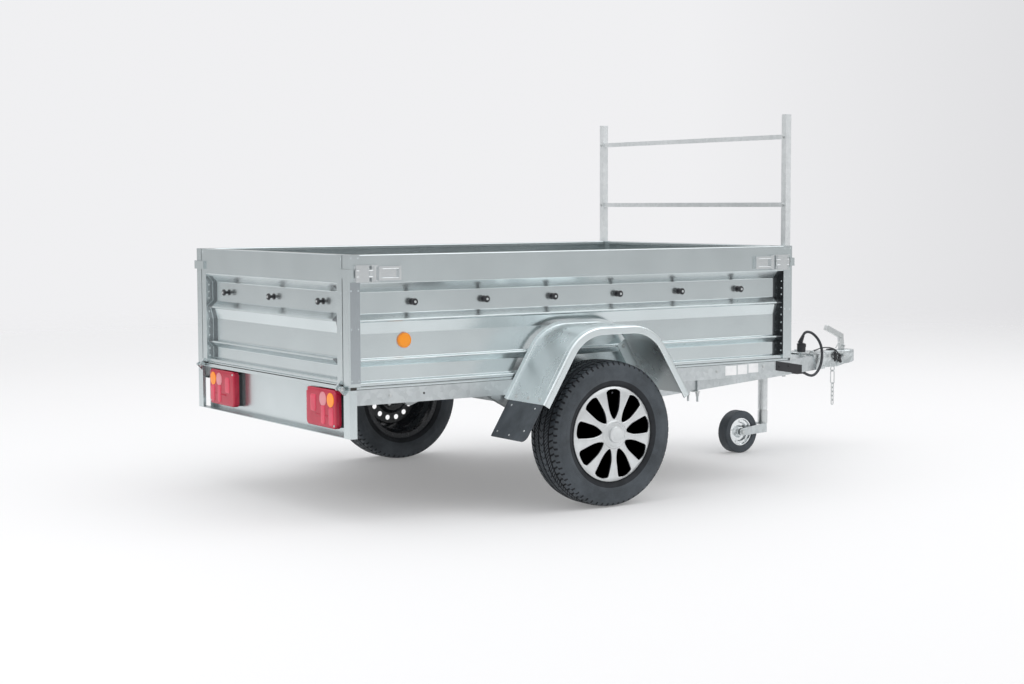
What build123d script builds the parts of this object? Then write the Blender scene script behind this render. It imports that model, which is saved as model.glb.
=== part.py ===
from build123d import *
from math import atan2, cos, radians, sin, tan
import os

# Single-axle utility trailer with a ribbed galvanised box, a ladder rack and a jockey wheel.
# Millimetres. +Z is up from the road, +X points to the coupling, +Y is the left side.
# The model is drawn with X = 0 at the outer face of the tailgate and moved at the end, so
# that its origin lies on the road below the middle of its bounding box.

# ---- load box ----
BOX_LENGTH = 2280
BOX_WIDTH = 1400
SHEET = 2
WALL_DEPTH = 47
BEND_RADIUS = 4
WALL_POST = 50
GATE_POST = 43
GATE_GAP = 5
GATE_LIFT = 8
FLOOR_THICKNESS = 12
FLOOR_SETBACK = 10

# ---- folded profile of the walls, from the rim down ----
RECESS = 32
HEM = 14
RIM_BAND = 110
BAND_SLOPE = 36
KNOB_BAND = 83
CREST_SLOPE = 29
CREST_RETURN = 3
SHOULDER_DEPTH = 20
SHOULDER = 46
PANEL = 96
LEDGE_RETURN = 2
LEDGE_SLOPE = 29
FOOT_PANEL = 56
FOOT_SLOPE = 4
FOOT = 14
FOOT_DEPTH = 8

# ---- chassis ----
RAIL_TOP = 525
RAIL_HEIGHT = 60
RAIL_FLANGE = 30
RAIL_STEEL = 3
CROSS_WIDTH = 40
FRONT_CROSS_WIDTH = 30
MID_CROSS_BEHIND = 395
EDGE_LIP_INSET = 3
EDGE_LIP_SHEET = 2.5
BEAM_HEIGHT = 68
BEAM_WIDTH = 40
BEAM_STEEL = 4
BEAM_REAR_BEHIND = 435
BEAM_BEND_AHEAD = 335
BEAM_INSET = 14
BEAM_NOSE_Y = 79
BEAM_REAR_CUT = 110
BEAM_REAR_LIP = 8
NOSE_PLATE_THICKNESS = 4
U_BOLT_RADIUS = 5
U_BOLT_DROP = 50
U_BOLT_BITE = 1

# ---- rear light bar and corner brackets ----
BRACKET_BOTTOM = 337
BRACKET_SHEET = 2.5
BRACKET_OUTER_LEG = 33
LIGHT_BAR_X = 42
LAMP_BASE = 16
LAMP_BASE_INSET = 5
LAMP_BOTTOM = 363
LAMP_HEIGHT = 154
LAMP_WIDTH = 250
LAMP_IN = 114
LAMP_CORNER = 20
LAMP_EDGE = 5
INDICATOR_RADIUS = 26
INDICATOR_IN = 41
INDICATOR_PROUD = 3
INDICATOR_PITCH = 62

# ---- gate hinges ----
HINGE_OFFSET = 14
HINGE_Z = 530
HINGE_PIN_RADIUS = 5
HINGE_PIN_HEAD = 6
HINGE_EYE_RADIUS = 10
HINGE_PLATE = 8
HINGE_EAR_IN = 20
HINGE_LUG_OUT = 3
HINGE_EAR_HEIGHT = 14
HINGE_LUG_HEIGHT = 18
HINGE_TOE = 3
PIN_CLEARANCE = 0.1

# ---- running gear ----
AXLE_BEHIND_MIDDLE = 45
AXLE_TUBE = 60
AXLE_TUBE_WALL = 5
AXLE_TUBE_AHEAD = 150
AXLE_TUBE_PROUD = 10
AXLE_PAD = 6
AXLE_PAD_LENGTH = 140
AXLE_PAD_OVERHANG = 8
TYRE_RADIUS = 300
TYRE_HALF_WIDTH = 92.5
WHEEL_OUT = 142
SIDEWALL_STEP = 10
TREAD_HALF_WIDTH = 76
TREAD_DROP = 5
SHOULDER_DROP = 16
RIM_RADIUS = 180
RIM_HALF_WIDTH = 70
RIM_FLANGE_RADIUS = 196
RIM_FLANGE = 6
RIM_STEEL = 4
RIM_WELL_RADIUS = 158
DISC_OFFSET = 32
DISC_RADIUS = 138
DISC_STEP_RADIUS = 84
HUB_SET_BACK = 16
HUB_RADIUS = 42
HUB_FLANGE_RADIUS = 58
HUB_LENGTH = 68
VENT_CIRCLE = 108
VENT_RADIUS = 12.5
VENT_COUNT = 14
STUB_RADIUS = 15
STUB_PROUD = 20
ARM_THICKNESS = 26
ARM_ROOT_RADIUS = 38
ARM_TIP_RADIUS = 32
ARM_EDGE = 4
COVER_RADIUS = 195
COVER_SHEET = 3
COVER_DISH = 14
COVER_BROW_RADIUS = 182
COVER_CROWN_RADIUS = 95
WINDOW_COUNT = 9
WINDOW_INNER = 64
WINDOW_OUTER = 172
WINDOW_INNER_WIDTH = 15
WINDOW_OUTER_WIDTH = 70
WINDOW_CORNER = 5
BOSS_RADIUS = 52
BOSS_HEIGHT = 7
CAP_RADIUS = 33
CAP_HEIGHT = 19
HUB_CAP_HEIGHT = 34

# ---- mudguards ----
GUARD_WIDTH = 265
GUARD_TOP = 743
GUARD_BOTTOM = 447
GUARD_HALF_TOP = 187
GUARD_HALF_BOTTOM = 371
GUARD_BEND = 200
GUARD_SKIRT = 32
GUARD_EDGE_RADIUS = 9
GUARD_BEAD = 7
GUARD_FLANGE = 15
STAY_WIDTH = 50
STAY_TOP = 668
STAY_BOTTOM = 525
STAY_SHEET = 3
FLAP_LENGTH = 230
FLAP_HANG = 165
FLAP_THICKNESS = 5
FLAP_SIDE_GAP = 12
FLAP_CORNER = 30

# ---- hook knobs, latches, reflectors, marker brackets ----
KNOB_RADIUS = 14
KNOB_FOOT_RADIUS = 13
KNOB_FOOT = 5
KNOB_NECK_RADIUS = 6
KNOB_HEAD = 8
KNOB_EDGE = 3
KNOB_LENGTH = 30
SIDE_KNOB_COUNT = 6
SIDE_KNOB_MARGIN = 298
GATE_KNOB_MARGIN = 213
REFLECTOR_X = 262
REFLECTOR_RADIUS = 30
REFLECTOR_DEPTH = 10
REFLECTOR_DROP = 338
LATCH_DROP = 72
LATCH_SHEET = 3
LATCH_START = 25
LATCH_KEEPER = 105
LATCH_KEEPER_HALF = 34
LATCH_LEVER_START = 128
LATCH_LEVER = 99
LATCH_LEVER_HALF = 27.5
LATCH_LEVER_DEPTH = 14
LATCH_FRAME = 10
LATCH_STRAP_HALF = 16
LATCH_ROLLER_X = 101
LATCH_ROLLER_RADIUS = 4
CATCH_HALF = 18
CATCH_PAD_START = 34
CATCH_PAD_END = 6
CATCH_WRAP = 18
MARKER_BEHIND = 92
MARKER_AHEAD = 63
MARKER_TOP = 526
MARKER_HEIGHT = 42
MARKER_FALL = 25
MARKER_SHEET = 4
MARKER_LAMP = 22
MARKER_LAMP_DEPTH = 40

# ---- ladder rack ----
RACK_HEIGHT = 590
RACK_TUBE = 30
RACK_TUBE_WALL = 2
RACK_CENTRE_BACK = 25
RACK_CENTRE_IN = 17
RACK_BAR = 20
RACK_UPPER_DROP = 100
RACK_LOWER_DROP = 405

# ---- drawbar, from the front of the box to the ball ----
DRAWBAR_REACH = 1026
BEAM_NOSE_BACK = 226
NOSE_PLATE_BACK = 666
BALL_Z = 447
BALL_CAVITY_RADIUS = 25.5
BALL_SEAT_RADIUS = 34
BALL_SEAT_DEPTH = 26
HEAD_RADIUS = 46
HEAD_TOP = 480
HEAD_EDGE = 12
COUPLING_BACK = 341
COUPLING_NECK_BACK = 172
COUPLING_HALF_WIDTH = 32
COUPLING_STEEL = 4
COUPLING_REAR_SLANT = 33
COUPLING_SEAM = 430
COUPLING_SEAM_DEPTH = 1.5
HEAD_RISE_BACK = 88
HEAD_RISE = 30
HANDLE_HALF_WIDTH = 11
HANDLE_HALF_DEPTH = 13.5
HANDLE_BACK = 25
HANDLE_KNEE_BACK = 33
HANDLE_KNEE_RISE = 72
HANDLE_TIP_BACK = 140
HANDLE_TIP_RISE = 120
HANDLE_EDGE = 6

# ---- jockey wheel ----
JOCKEY_BACK = 566
JOCKEY_TUBE_RADIUS = 24
JOCKEY_TUBE_WALL = 3
JOCKEY_TUBE_BOTTOM = 205
JOCKEY_TUBE_TOP = 620
JOCKEY_INNER_TOP = 590
JOCKEY_SLEEVE_RADIUS = 25
JOCKEY_SLEEVE_BOTTOM = 138
JOCKEY_SLEEVE_TOP = 198
JOCKEY_TRAIL = 165
JOCKEY_RADIUS = 105
JOCKEY_HALF_WIDTH = 30
JOCKEY_TREAD_EDGE = 6
JOCKEY_RIM_RADIUS = 68
JOCKEY_HUB_RADIUS = 24
JOCKEY_AXLE_RADIUS = 6
FORK_PLATE = 3
FORK_GAP = 5.5
FORK_EYE_RADIUS = 18
FORK_HEIGHT = 44
FORK_HEEL = 34
FORK_TOP_GAP = 0.4
BRIDGE_RADIUS = 22
KING_PIN_RADIUS = 8
KING_PIN_LENGTH = 32
CLAMP_WALL = 8
CLAMP_HEIGHT = 55
CLAMP_LUG = 32
CLAMP_LUG_HALF = 12
CLAMP_SLIT_HALF = 4
CLAMP_SCREW_RADIUS = 5
CLAMP_SCREW_REACH = 40
CRANK_SHAFT_RADIUS = 7
CRANK_SHAFT = 22
CRANK_ARM_HALF = 9
CRANK_ARM = 6
CRANK_REACH = 110
CRANK_GRIP_RADIUS = 9
CRANK_GRIP = 60

# ---- parked plug and its cable ----
PLUG_BACK = 361
PLUG_Y = -58
PLUG_RADIUS = 21.5
PLUG_HEIGHT = 42
PLUG_EDGE = 5
HOLDER_RADIUS = 11
HOLDER_FLANGE_RADIUS = 20
HOLDER_FLANGE = 3
HOLDER_HEIGHT = 18
BOOT_LENGTH = 44
BOOT_ROOT_RADIUS = 13
BOOT_RADIUS = 8.5
CABLE_RADIUS = 6
# the cable's way: ahead of the plug, to its left, above the nose plate
CABLE_ROUTE = (
    (12, -1, 102), (20, -4, 121), (47, -12, 128), (76, -22, 112), (95, -37, 79), (101, -49, 39),
    (97, -57, -3), (81, -64, -44), (53, -70, -78), (17, -73, -98), (-20, -73, -94), (-48, -71, -79))

# ---- safety chain and breakaway cable ----
CHAIN_BACK = 116
CHAIN_Y = -30
CHAIN_WIRE = 5
SHACKLE_LENGTH = 74
SHACKLE_WIDTH = 30
LINK_LENGTH = 31
LINK_WIDTH = 19
LINK_COUNT = 5
LINK_BITE = 0.4
BREAKAWAY_RADIUS = 3
# the breakaway cable's way: behind the ball, to its left, above the coupling's top
BREAKAWAY_ROUTE = (
    (-262, -52, 9), (-240, -53, 16), (-212, -53, 20), (-180, -52, 21), (-148, -50, 17), (-118, -48, 8),
    (-96, -46, -8), (-86, -45, -30))
BREAKAWAY_GLAND_RADIUS = 5
HOOK_RADIUS = 7
HOOK_LENGTH = 34

LOW = (Align.CENTER, Align.CENTER, Align.MIN)

HALF_WIDTH = BOX_WIDTH / 2
INNER_HALF = HALF_WIDTH - WALL_DEPTH
GATE_HALF = INNER_HALF - GATE_GAP
RAIL_BOTTOM = RAIL_TOP - RAIL_HEIGHT
FLOOR_TOP = RAIL_TOP + FLOOR_THICKNESS
PLATE_TOP = RAIL_BOTTOM + NOSE_PLATE_THICKNESS

# height of each fold and the depth of the sheet below it
FOLDS = (
    (RIM_BAND, 0), (BAND_SLOPE, RECESS), (KNOB_BAND, RECESS), (CREST_SLOPE, 0),
    (CREST_RETURN, SHOULDER_DEPTH), (SHOULDER, RECESS), (PANEL, RECESS), (LEDGE_RETURN, 0),
    (LEDGE_SLOPE, RECESS), (FOOT_PANEL, RECESS), (FOOT_SLOPE, FOOT_DEPTH), (FOOT, FOOT_DEPTH))
WALL_HEIGHT = sum(height for height, depth in FOLDS)
RIM_Z = FLOOR_TOP + WALL_HEIGHT
KNOB_Z = RIM_Z - RIM_BAND - BAND_SLOPE - KNOB_BAND / 2
LATCH_Z = RIM_Z - LATCH_DROP

BEAM_BOTTOM = RAIL_BOTTOM - BEAM_HEIGHT
BEAM_REAR_Y = HALF_WIDTH - BEAM_INSET
HINGE_EAR_Y = GATE_HALF - HINGE_EAR_IN
HINGE_LUG_Y = INNER_HALF + HINGE_LUG_OUT
WHEEL_Y = HALF_WIDTH + WHEEL_OUT

AXLE_X = BOX_LENGTH / 2 - AXLE_BEHIND_MIDDLE
AXLE_TUBE_X = AXLE_X + AXLE_TUBE_AHEAD
AXLE_TUBE_Z = BEAM_BOTTOM - AXLE_PAD - AXLE_TUBE / 2
AXLE_TUBE_END = BEAM_REAR_Y + AXLE_TUBE_PROUD
MID_CROSS_X = BOX_LENGTH - MID_CROSS_BEHIND
BEAM_REAR_X = AXLE_X - BEAM_REAR_BEHIND
BEAM_BEND_X = AXLE_X + BEAM_BEND_AHEAD
BALL_X = BOX_LENGTH + DRAWBAR_REACH
BEAM_NOSE_X = BALL_X - BEAM_NOSE_BACK
NOSE_PLATE_X = BALL_X - NOSE_PLATE_BACK
COUPLING_REAR_X = BALL_X - COUPLING_BACK
JOCKEY_X = BALL_X - JOCKEY_BACK
JOCKEY_WHEEL_X = JOCKEY_X - JOCKEY_TRAIL
CHAIN_X = BALL_X - CHAIN_BACK
PLUG_X = BALL_X - PLUG_BACK
CABLE_POINTS = [(PLUG_X + x, PLUG_Y + y, PLATE_TOP + z) for x, y, z in CABLE_ROUTE]
BREAKAWAY_POINTS = [(BALL_X + x, y, HEAD_TOP + z) for x, y, z in BREAKAWAY_ROUTE]


def block(x0, x1, y0, y1, z0, z1):
    """Box between two corners."""
    return Pos(x0, y0, z0) * Box(x1 - x0, y1 - y0, z1 - z0, align=(Align.MIN,) * 3)


def to_left(shape):
    """The same piece on the other side of the trailer."""
    return mirror(shape, about=Plane.XZ)


def parallel(points, distance):
    """Points of the mitred line that runs at a distance to the left of a plane polyline."""
    headings = [atan2(b[1] - a[1], b[0] - a[0]) for a, b in zip(points, points[1:])]
    turns = [headings[0]] + [(a + b) / 2 for a, b in zip(headings, headings[1:])] + [headings[-1]]
    halves = [0] + [(b - a) / 2 for a, b in zip(headings, headings[1:])] + [0]
    reach = [distance / cos(h) for h in halves]
    return [(p[0] - r * sin(t), p[1] + r * cos(t)) for p, r, t in zip(points, reach, turns)]


def ribbon(points, near, far):
    """Face between two lines parallel to a plane polyline."""
    return Polygon(*parallel(points, near), *reversed(parallel(points, far)), align=None)


def pin_along_y(x, y0, y1, z, radius):
    """Round pin along Y."""
    return Pos(x, (y0 + y1) / 2, z) * Rot(90, 0, 0) * Cylinder(radius, abs(y1 - y0))


def bar_between(start, end, radius):
    """Round bar from one point to another."""
    return extrude(Plane(origin=start, z_dir=end - start) * Circle(radius), (end - start).length)


def along(points):
    """Bend radius for each inner point of a cord's way."""
    ends = [Vector(*p) for p in points]
    runs = [b - a for a, b in zip(ends, ends[1:])]
    return [0.45 * min(a.length, b.length) / tan(radians(a.get_angle(b) / 2)) for a, b in zip(runs, runs[1:])]


def cord(label, points, radius):
    """Round cord of straight runs and tangent arcs."""
    radii = along(points)
    path = FilletPolyline(*points, radius=radii)
    print(label, "length %.0f mm, bend radii" % path.length, [round(r) for r in radii])
    return sweep(Plane(origin=path @ 0, z_dir=path % 0) * Circle(radius), path=path)


def wheel_revolve(points):
    """Solid of revolution about the wheel axis from points (offset along Y, radius)."""
    return revolve(Plane.YZ * Polygon(*points, align=None), Axis.Y)


def turned(points):
    """Solid of revolution about Z from points (radius, height)."""
    return revolve(Plane.XZ * Polygon(*points, align=None), Axis.Z)


def to_front(shape):
    """A rear piece turned round to the front end of the box."""
    return Pos(BOX_LENGTH, 0, 0) * mirror(shape, about=Plane.YZ)


# ---- load box ----

def ribbed_sheet(length, lift):
    """Folded sheet along X: rim at z = 0, outer face at y = 0, depth towards +Y."""
    bends = [(WALL_DEPTH, -HEM), (WALL_DEPTH, 0), (0, 0)]
    drop = 0
    for height, depth in FOLDS:
        drop += height
        bends.append((depth, -drop))
    foot = [(depth, z + lift) for depth, z in bends[-3:]] + [(WALL_DEPTH, lift - drop)]
    skin = FilletPolyline(*bends[:-3], *foot, radius=BEND_RADIUS)
    profile = make_face(offset(skin, amount=SHEET, side=Side.LEFT))
    return extrude(Plane.YZ * profile, length / 2, both=True)


def corner_post(width, height):
    """Folded end profile of a wall: closed at the rim, open below, rim at z = 0."""
    outer = Pos(0, WALL_DEPTH / 2, -height / 2) * Box(width, WALL_DEPTH, height)
    bore = Box(width - 2 * SHEET, WALL_DEPTH - 2 * SHEET, height)
    return outer - Pos(0, WALL_DEPTH / 2, -height / 2 - SHEET) * bore


def side_wall():
    """Right side wall with its two end profiles."""
    sheet = ribbed_sheet(BOX_LENGTH - 2 * WALL_POST, 0)
    reach = (BOX_LENGTH - WALL_POST) / 2
    posts = [Pos(x, 0, 0) * corner_post(WALL_POST, WALL_HEIGHT) for x in (-reach, reach)]
    return Pos(BOX_LENGTH / 2, -HALF_WIDTH, RIM_Z) * (sheet + posts)


def hinge_eye(y, foot_low, foot_high):
    """Plate across Y with a round eye about the hinge axis and a foot on the face at X = 0."""
    foot = Polygon((0, foot_low), (0, foot_high), (-HINGE_TOE, foot_high), (-HINGE_TOE, foot_low), align=None)
    eye = Pos(-HINGE_OFFSET, HINGE_Z) * Circle(HINGE_EYE_RADIUS)
    outline = make_hull(eye.edges() + foot.edges())
    return Pos(0, y + HINGE_PLATE, 0) * extrude(Plane.XZ * outline, HINGE_PLATE)


def catch_plate():
    """Plate on the left end of the tailgate that wraps round the corner of the box."""
    low = LATCH_Z - CATCH_HALF
    top = LATCH_Z + CATCH_HALF
    skin = GATE_GAP + LATCH_SHEET
    pad = block(-GATE_GAP, 0, GATE_HALF - CATCH_PAD_START, GATE_HALF - CATCH_PAD_END, low, top)
    face = block(-skin, -GATE_GAP, GATE_HALF - CATCH_PAD_START, HALF_WIDTH + skin, low, top)
    wrap = block(-GATE_GAP, CATCH_WRAP, HALF_WIDTH + GATE_GAP, HALF_WIDTH + skin, low, top)
    return pad + face + wrap


def gate():
    """Ribbed gate with end profiles, hinge ears and catch plates, drawn as the tailgate."""
    foot = FLOOR_TOP + GATE_LIFT
    panel = ribbed_sheet(2 * (GATE_HALF - GATE_POST), GATE_LIFT)
    reach = GATE_HALF - GATE_POST / 2
    posts = [Pos(x, 0, 0) * corner_post(GATE_POST, WALL_HEIGHT - GATE_LIFT) for x in (-reach, reach)]
    leaf = Pos(0, 0, RIM_Z) * Rot(0, 0, -90) * (panel + posts)
    ear = hinge_eye(HINGE_EAR_Y, foot, foot + HINGE_EAR_HEIGHT)
    bore = HINGE_PIN_RADIUS + PIN_CLEARANCE
    ear -= pin_along_y(-HINGE_OFFSET, HINGE_EAR_Y - 1, HINGE_EAR_Y + HINGE_PLATE + 1, HINGE_Z, bore)
    catch = catch_plate()
    return leaf + [ear, to_left(ear), catch, to_left(catch)]


def knob():
    """Hook knob, a spool that stands on the floor of the recessed band and points to -Y."""
    neck = KNOB_LENGTH - KNOB_HEAD
    spool = turned([
        (0, 0), (KNOB_FOOT_RADIUS, 0), (KNOB_FOOT_RADIUS, KNOB_FOOT / 2), (KNOB_NECK_RADIUS, KNOB_FOOT),
        (KNOB_NECK_RADIUS, neck), (KNOB_RADIUS, neck), (KNOB_RADIUS, KNOB_LENGTH - KNOB_EDGE),
        (KNOB_RADIUS - KNOB_EDGE, KNOB_LENGTH), (0, KNOB_LENGTH)])
    return Pos(0, RECESS, 0) * Rot(90, 0, 0) * spool


def side_knobs():
    """Row of hook knobs on the right wall."""
    pitch = (BOX_LENGTH - 2 * SIDE_KNOB_MARGIN) / (SIDE_KNOB_COUNT - 1)
    places = [SIDE_KNOB_MARGIN + i * pitch for i in range(SIDE_KNOB_COUNT)]
    return Compound([Pos(x, -HALF_WIDTH, KNOB_Z) * knob() for x in places])


def gate_knobs():
    """Hook knobs on the tailgate."""
    pitch = GATE_HALF - GATE_KNOB_MARGIN
    return Compound([Pos(0, i * pitch, KNOB_Z) * Rot(0, 0, -90) * knob() for i in (-1, 0, 1)])


def side_latches():
    """Over-centre latches at both ends of the right wall."""
    face = -HALF_WIDTH
    skin = face - LATCH_SHEET
    front = face - LATCH_LEVER_DEPTH
    keeper_end = LATCH_START + LATCH_KEEPER
    keeper = block(LATCH_START, keeper_end, front, face, LATCH_Z - LATCH_KEEPER_HALF, LATCH_Z + LATCH_KEEPER_HALF)
    inside = LATCH_KEEPER_HALF - LATCH_SHEET
    keeper -= block(LATCH_START, keeper_end, front, skin, LATCH_Z - inside, LATCH_Z + inside)
    strap = block(LATCH_START, LATCH_ROLLER_X, front + LATCH_SHEET, front + 2 * LATCH_SHEET,
                  LATCH_Z - LATCH_STRAP_HALF, LATCH_Z + LATCH_STRAP_HALF)
    roller = Pos(LATCH_ROLLER_X, (front + skin) / 2, LATCH_Z) * Cylinder(LATCH_ROLLER_RADIUS, 2 * inside)
    lever_end = LATCH_LEVER_START + LATCH_LEVER
    lever = block(LATCH_LEVER_START, lever_end, front, face, LATCH_Z - LATCH_LEVER_HALF, LATCH_Z + LATCH_LEVER_HALF)
    window = LATCH_LEVER_HALF - LATCH_FRAME
    lever -= block(LATCH_LEVER_START + LATCH_FRAME, lever_end - LATCH_FRAME, front, skin,
                   LATCH_Z - window, LATCH_Z + window)
    rear = keeper + strap + roller + lever
    return Compound([rear, to_front(rear)])


# ---- chassis ----

def channel(width, height, steel):
    """C profile with its web on the left at u = 0 and the flanges towards +u."""
    outer = Pos(width / 2, height / 2) * Rectangle(width, height)
    return outer - Pos(width / 2 + steel, height / 2) * Rectangle(width, height - 2 * steel)


def side_rail():
    """Right side rail, a C profile that opens inwards."""
    profile = Plane.YZ * Pos(-HALF_WIDTH, RAIL_BOTTOM) * channel(RAIL_FLANGE, RAIL_HEIGHT, RAIL_STEEL)
    return Pos(BRACKET_OUTER_LEG, 0, 0) * extrude(profile, BOX_LENGTH - BRACKET_OUTER_LEG)


def cross_member(x, width):
    """C profile across the frame from x rearwards, notched into the rails."""
    profile = mirror(channel(width, RAIL_HEIGHT, RAIL_STEEL), about=Plane.YZ)
    place = Plane.XZ * Pos(x, RAIL_BOTTOM)
    bar = extrude(place * profile, HALF_WIDTH - RAIL_FLANGE, both=True)
    deep = HALF_WIDTH - RAIL_STEEL
    tongue = extrude(place * profile, deep, both=True)
    tongue &= block(x - width, x, -deep, deep, RAIL_BOTTOM + RAIL_STEEL, RAIL_TOP - RAIL_STEEL)
    return bar + tongue


def edge_lip():
    """Upright lip that covers the rear edge of the floor."""
    half = HALF_WIDTH - EDGE_LIP_SHEET
    return block(EDGE_LIP_INSET, EDGE_LIP_INSET + EDGE_LIP_SHEET, -half, half, RAIL_TOP, FLOOR_TOP)


def beam_line():
    """Outer edge of the right drawbar beam in plan."""
    return [(BEAM_REAR_X, -BEAM_REAR_Y), (BEAM_BEND_X, -BEAM_REAR_Y), (BEAM_NOSE_X, -BEAM_NOSE_Y)]


def beam_outer_y(x):
    """Distance of the beam's outer face from the middle, ahead of its bend."""
    return BEAM_NOSE_Y + (BEAM_NOSE_X - x) * (BEAM_REAR_Y - BEAM_NOSE_Y) / (BEAM_NOSE_X - BEAM_BEND_X)


def drawbar_beam():
    """Right drawbar beam, a bent closed profile cut off aslant behind the axle."""
    outer = Pos(0, 0, BEAM_BOTTOM) * extrude(ribbon(beam_line(), 0, BEAM_WIDTH), BEAM_HEIGHT)
    core = ribbon(beam_line(), BEAM_STEEL, BEAM_WIDTH - BEAM_STEEL)
    bore = Pos(0, 0, BEAM_BOTTOM + BEAM_STEEL) * extrude(core, BEAM_HEIGHT - 2 * BEAM_STEEL)
    beam = outer - bore
    slant = Polygon((BEAM_REAR_X - 1, BEAM_BOTTOM - 1), (BEAM_REAR_X + BEAM_REAR_CUT, BEAM_BOTTOM - 1),
                    (BEAM_REAR_X - 1, RAIL_BOTTOM - BEAM_REAR_LIP), align=None)
    beam -= extrude(Plane.XZ * slant, HALF_WIDTH)
    run = atan2(BEAM_REAR_Y - BEAM_NOSE_Y, BEAM_NOSE_X - BEAM_BEND_X)
    bolt_x = MID_CROSS_X - CROSS_WIDTH / 2
    bolt_y = -beam_outer_y(bolt_x) + BEAM_WIDTH / 2 / cos(run)
    reach = BEAM_WIDTH / 2 + U_BOLT_RADIUS - U_BOLT_BITE
    leg = Pos(0, 0, BEAM_BOTTOM - U_BOLT_DROP) * Cylinder(U_BOLT_RADIUS, BEAM_HEIGHT + U_BOLT_DROP, align=LOW)
    sides = (-reach, reach)
    return beam + [Pos(bolt_x - side * sin(run), bolt_y + side * cos(run), 0) * leg for side in sides]


def jockey_clamp():
    """Slit collar round the jockey tube with its clamping screw and lever."""
    collar = Cylinder(JOCKEY_TUBE_RADIUS + CLAMP_WALL, CLAMP_HEIGHT, align=LOW)
    end = JOCKEY_TUBE_RADIUS + CLAMP_LUG
    lugs = block(JOCKEY_TUBE_RADIUS, end, -CLAMP_LUG_HALF, CLAMP_LUG_HALF, 0, CLAMP_HEIGHT)
    slit = block(0, end, -CLAMP_SLIT_HALF, CLAMP_SLIT_HALF, 0, CLAMP_HEIGHT)
    screw_x = JOCKEY_TUBE_RADIUS + CLAMP_LUG * 0.6
    screw = pin_along_y(screw_x, -CLAMP_SCREW_REACH, 2 * CLAMP_LUG_HALF, CLAMP_HEIGHT / 2, CLAMP_SCREW_RADIUS)
    lever = block(screw_x - CRANK_ARM_HALF, screw_x + CRANK_ARM_HALF, -CLAMP_SCREW_REACH - CRANK_ARM,
                  -CLAMP_SCREW_REACH, CLAMP_SCREW_RADIUS, CLAMP_HEIGHT * 1.5)
    return Pos(JOCKEY_X, 0, PLATE_TOP) * (collar + lugs - slit + screw + lever)


def nose_plate():
    """Trapezoid plate on both beams with the clamp for the jockey wheel."""
    rear = beam_outer_y(NOSE_PLATE_X)
    nose = beam_outer_y(COUPLING_REAR_X)
    outline = Polygon((NOSE_PLATE_X, -rear), (COUPLING_REAR_X, -nose), (COUPLING_REAR_X, nose),
                      (NOSE_PLATE_X, rear), align=None)
    plate = Pos(0, 0, RAIL_BOTTOM) * extrude(outline, NOSE_PLATE_THICKNESS)
    tube = Pos(JOCKEY_X, 0, RAIL_BOTTOM) * Cylinder(JOCKEY_TUBE_RADIUS, 2 * CLAMP_HEIGHT, align=LOW)
    return plate + jockey_clamp() - tube


def rear_lug():
    """Hinge lug with its headed pin on the left rear corner."""
    top = RAIL_TOP - HINGE_TOE
    lug = hinge_eye(HINGE_LUG_Y, top - HINGE_LUG_HEIGHT, top)
    outside = HINGE_LUG_Y + HINGE_PLATE
    pin = pin_along_y(-HINGE_OFFSET, HINGE_EAR_Y - HINGE_PIN_HEAD, outside, HINGE_Z, HINGE_PIN_RADIUS)
    head = pin_along_y(-HINGE_OFFSET, outside, outside + HINGE_PIN_HEAD, HINGE_Z, 1.6 * HINGE_PIN_RADIUS)
    return lug + pin + head


def light_bar():
    """Folded plate between the rear corner brackets, with hinge lugs on the brackets."""
    gap_half = HALF_WIDTH - RAIL_FLANGE
    half = HALF_WIDTH - BRACKET_SHEET
    sill_top = BRACKET_BOTTOM + BRACKET_SHEET
    shelf_low = RAIL_TOP - BRACKET_SHEET
    web = block(LIGHT_BAR_X, LIGHT_BAR_X + BRACKET_SHEET, -gap_half, gap_half, BRACKET_BOTTOM, RAIL_TOP)
    sill = block(0, LIGHT_BAR_X, -gap_half, gap_half, BRACKET_BOTTOM, sill_top)
    shelf = block(EDGE_LIP_INSET, LIGHT_BAR_X, -gap_half, gap_half, shelf_low, RAIL_TOP)
    rear = block(0, BRACKET_SHEET, INNER_HALF, HALF_WIDTH, BRACKET_BOTTOM, RAIL_TOP)
    outer_leg = block(0, BRACKET_OUTER_LEG, half, HALF_WIDTH, BRACKET_BOTTOM, RAIL_TOP)
    foot = block(0, BRACKET_OUTER_LEG, gap_half, half, BRACKET_BOTTOM, sill_top)
    head = block(0, BRACKET_OUTER_LEG, gap_half, half, shelf_low, RAIL_TOP)
    corner = rear + [outer_leg, foot, head, rear_lug()]
    return web + [sill, shelf, edge_lip(), corner, to_left(corner)]


def front_cross():
    """Front cross member with its floor lip and the hinge lugs of the front gate."""
    lug = to_front(rear_lug())
    return cross_member(BOX_LENGTH, FRONT_CROSS_WIDTH) + [to_front(edge_lip()), lug, to_left(lug)]


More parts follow.
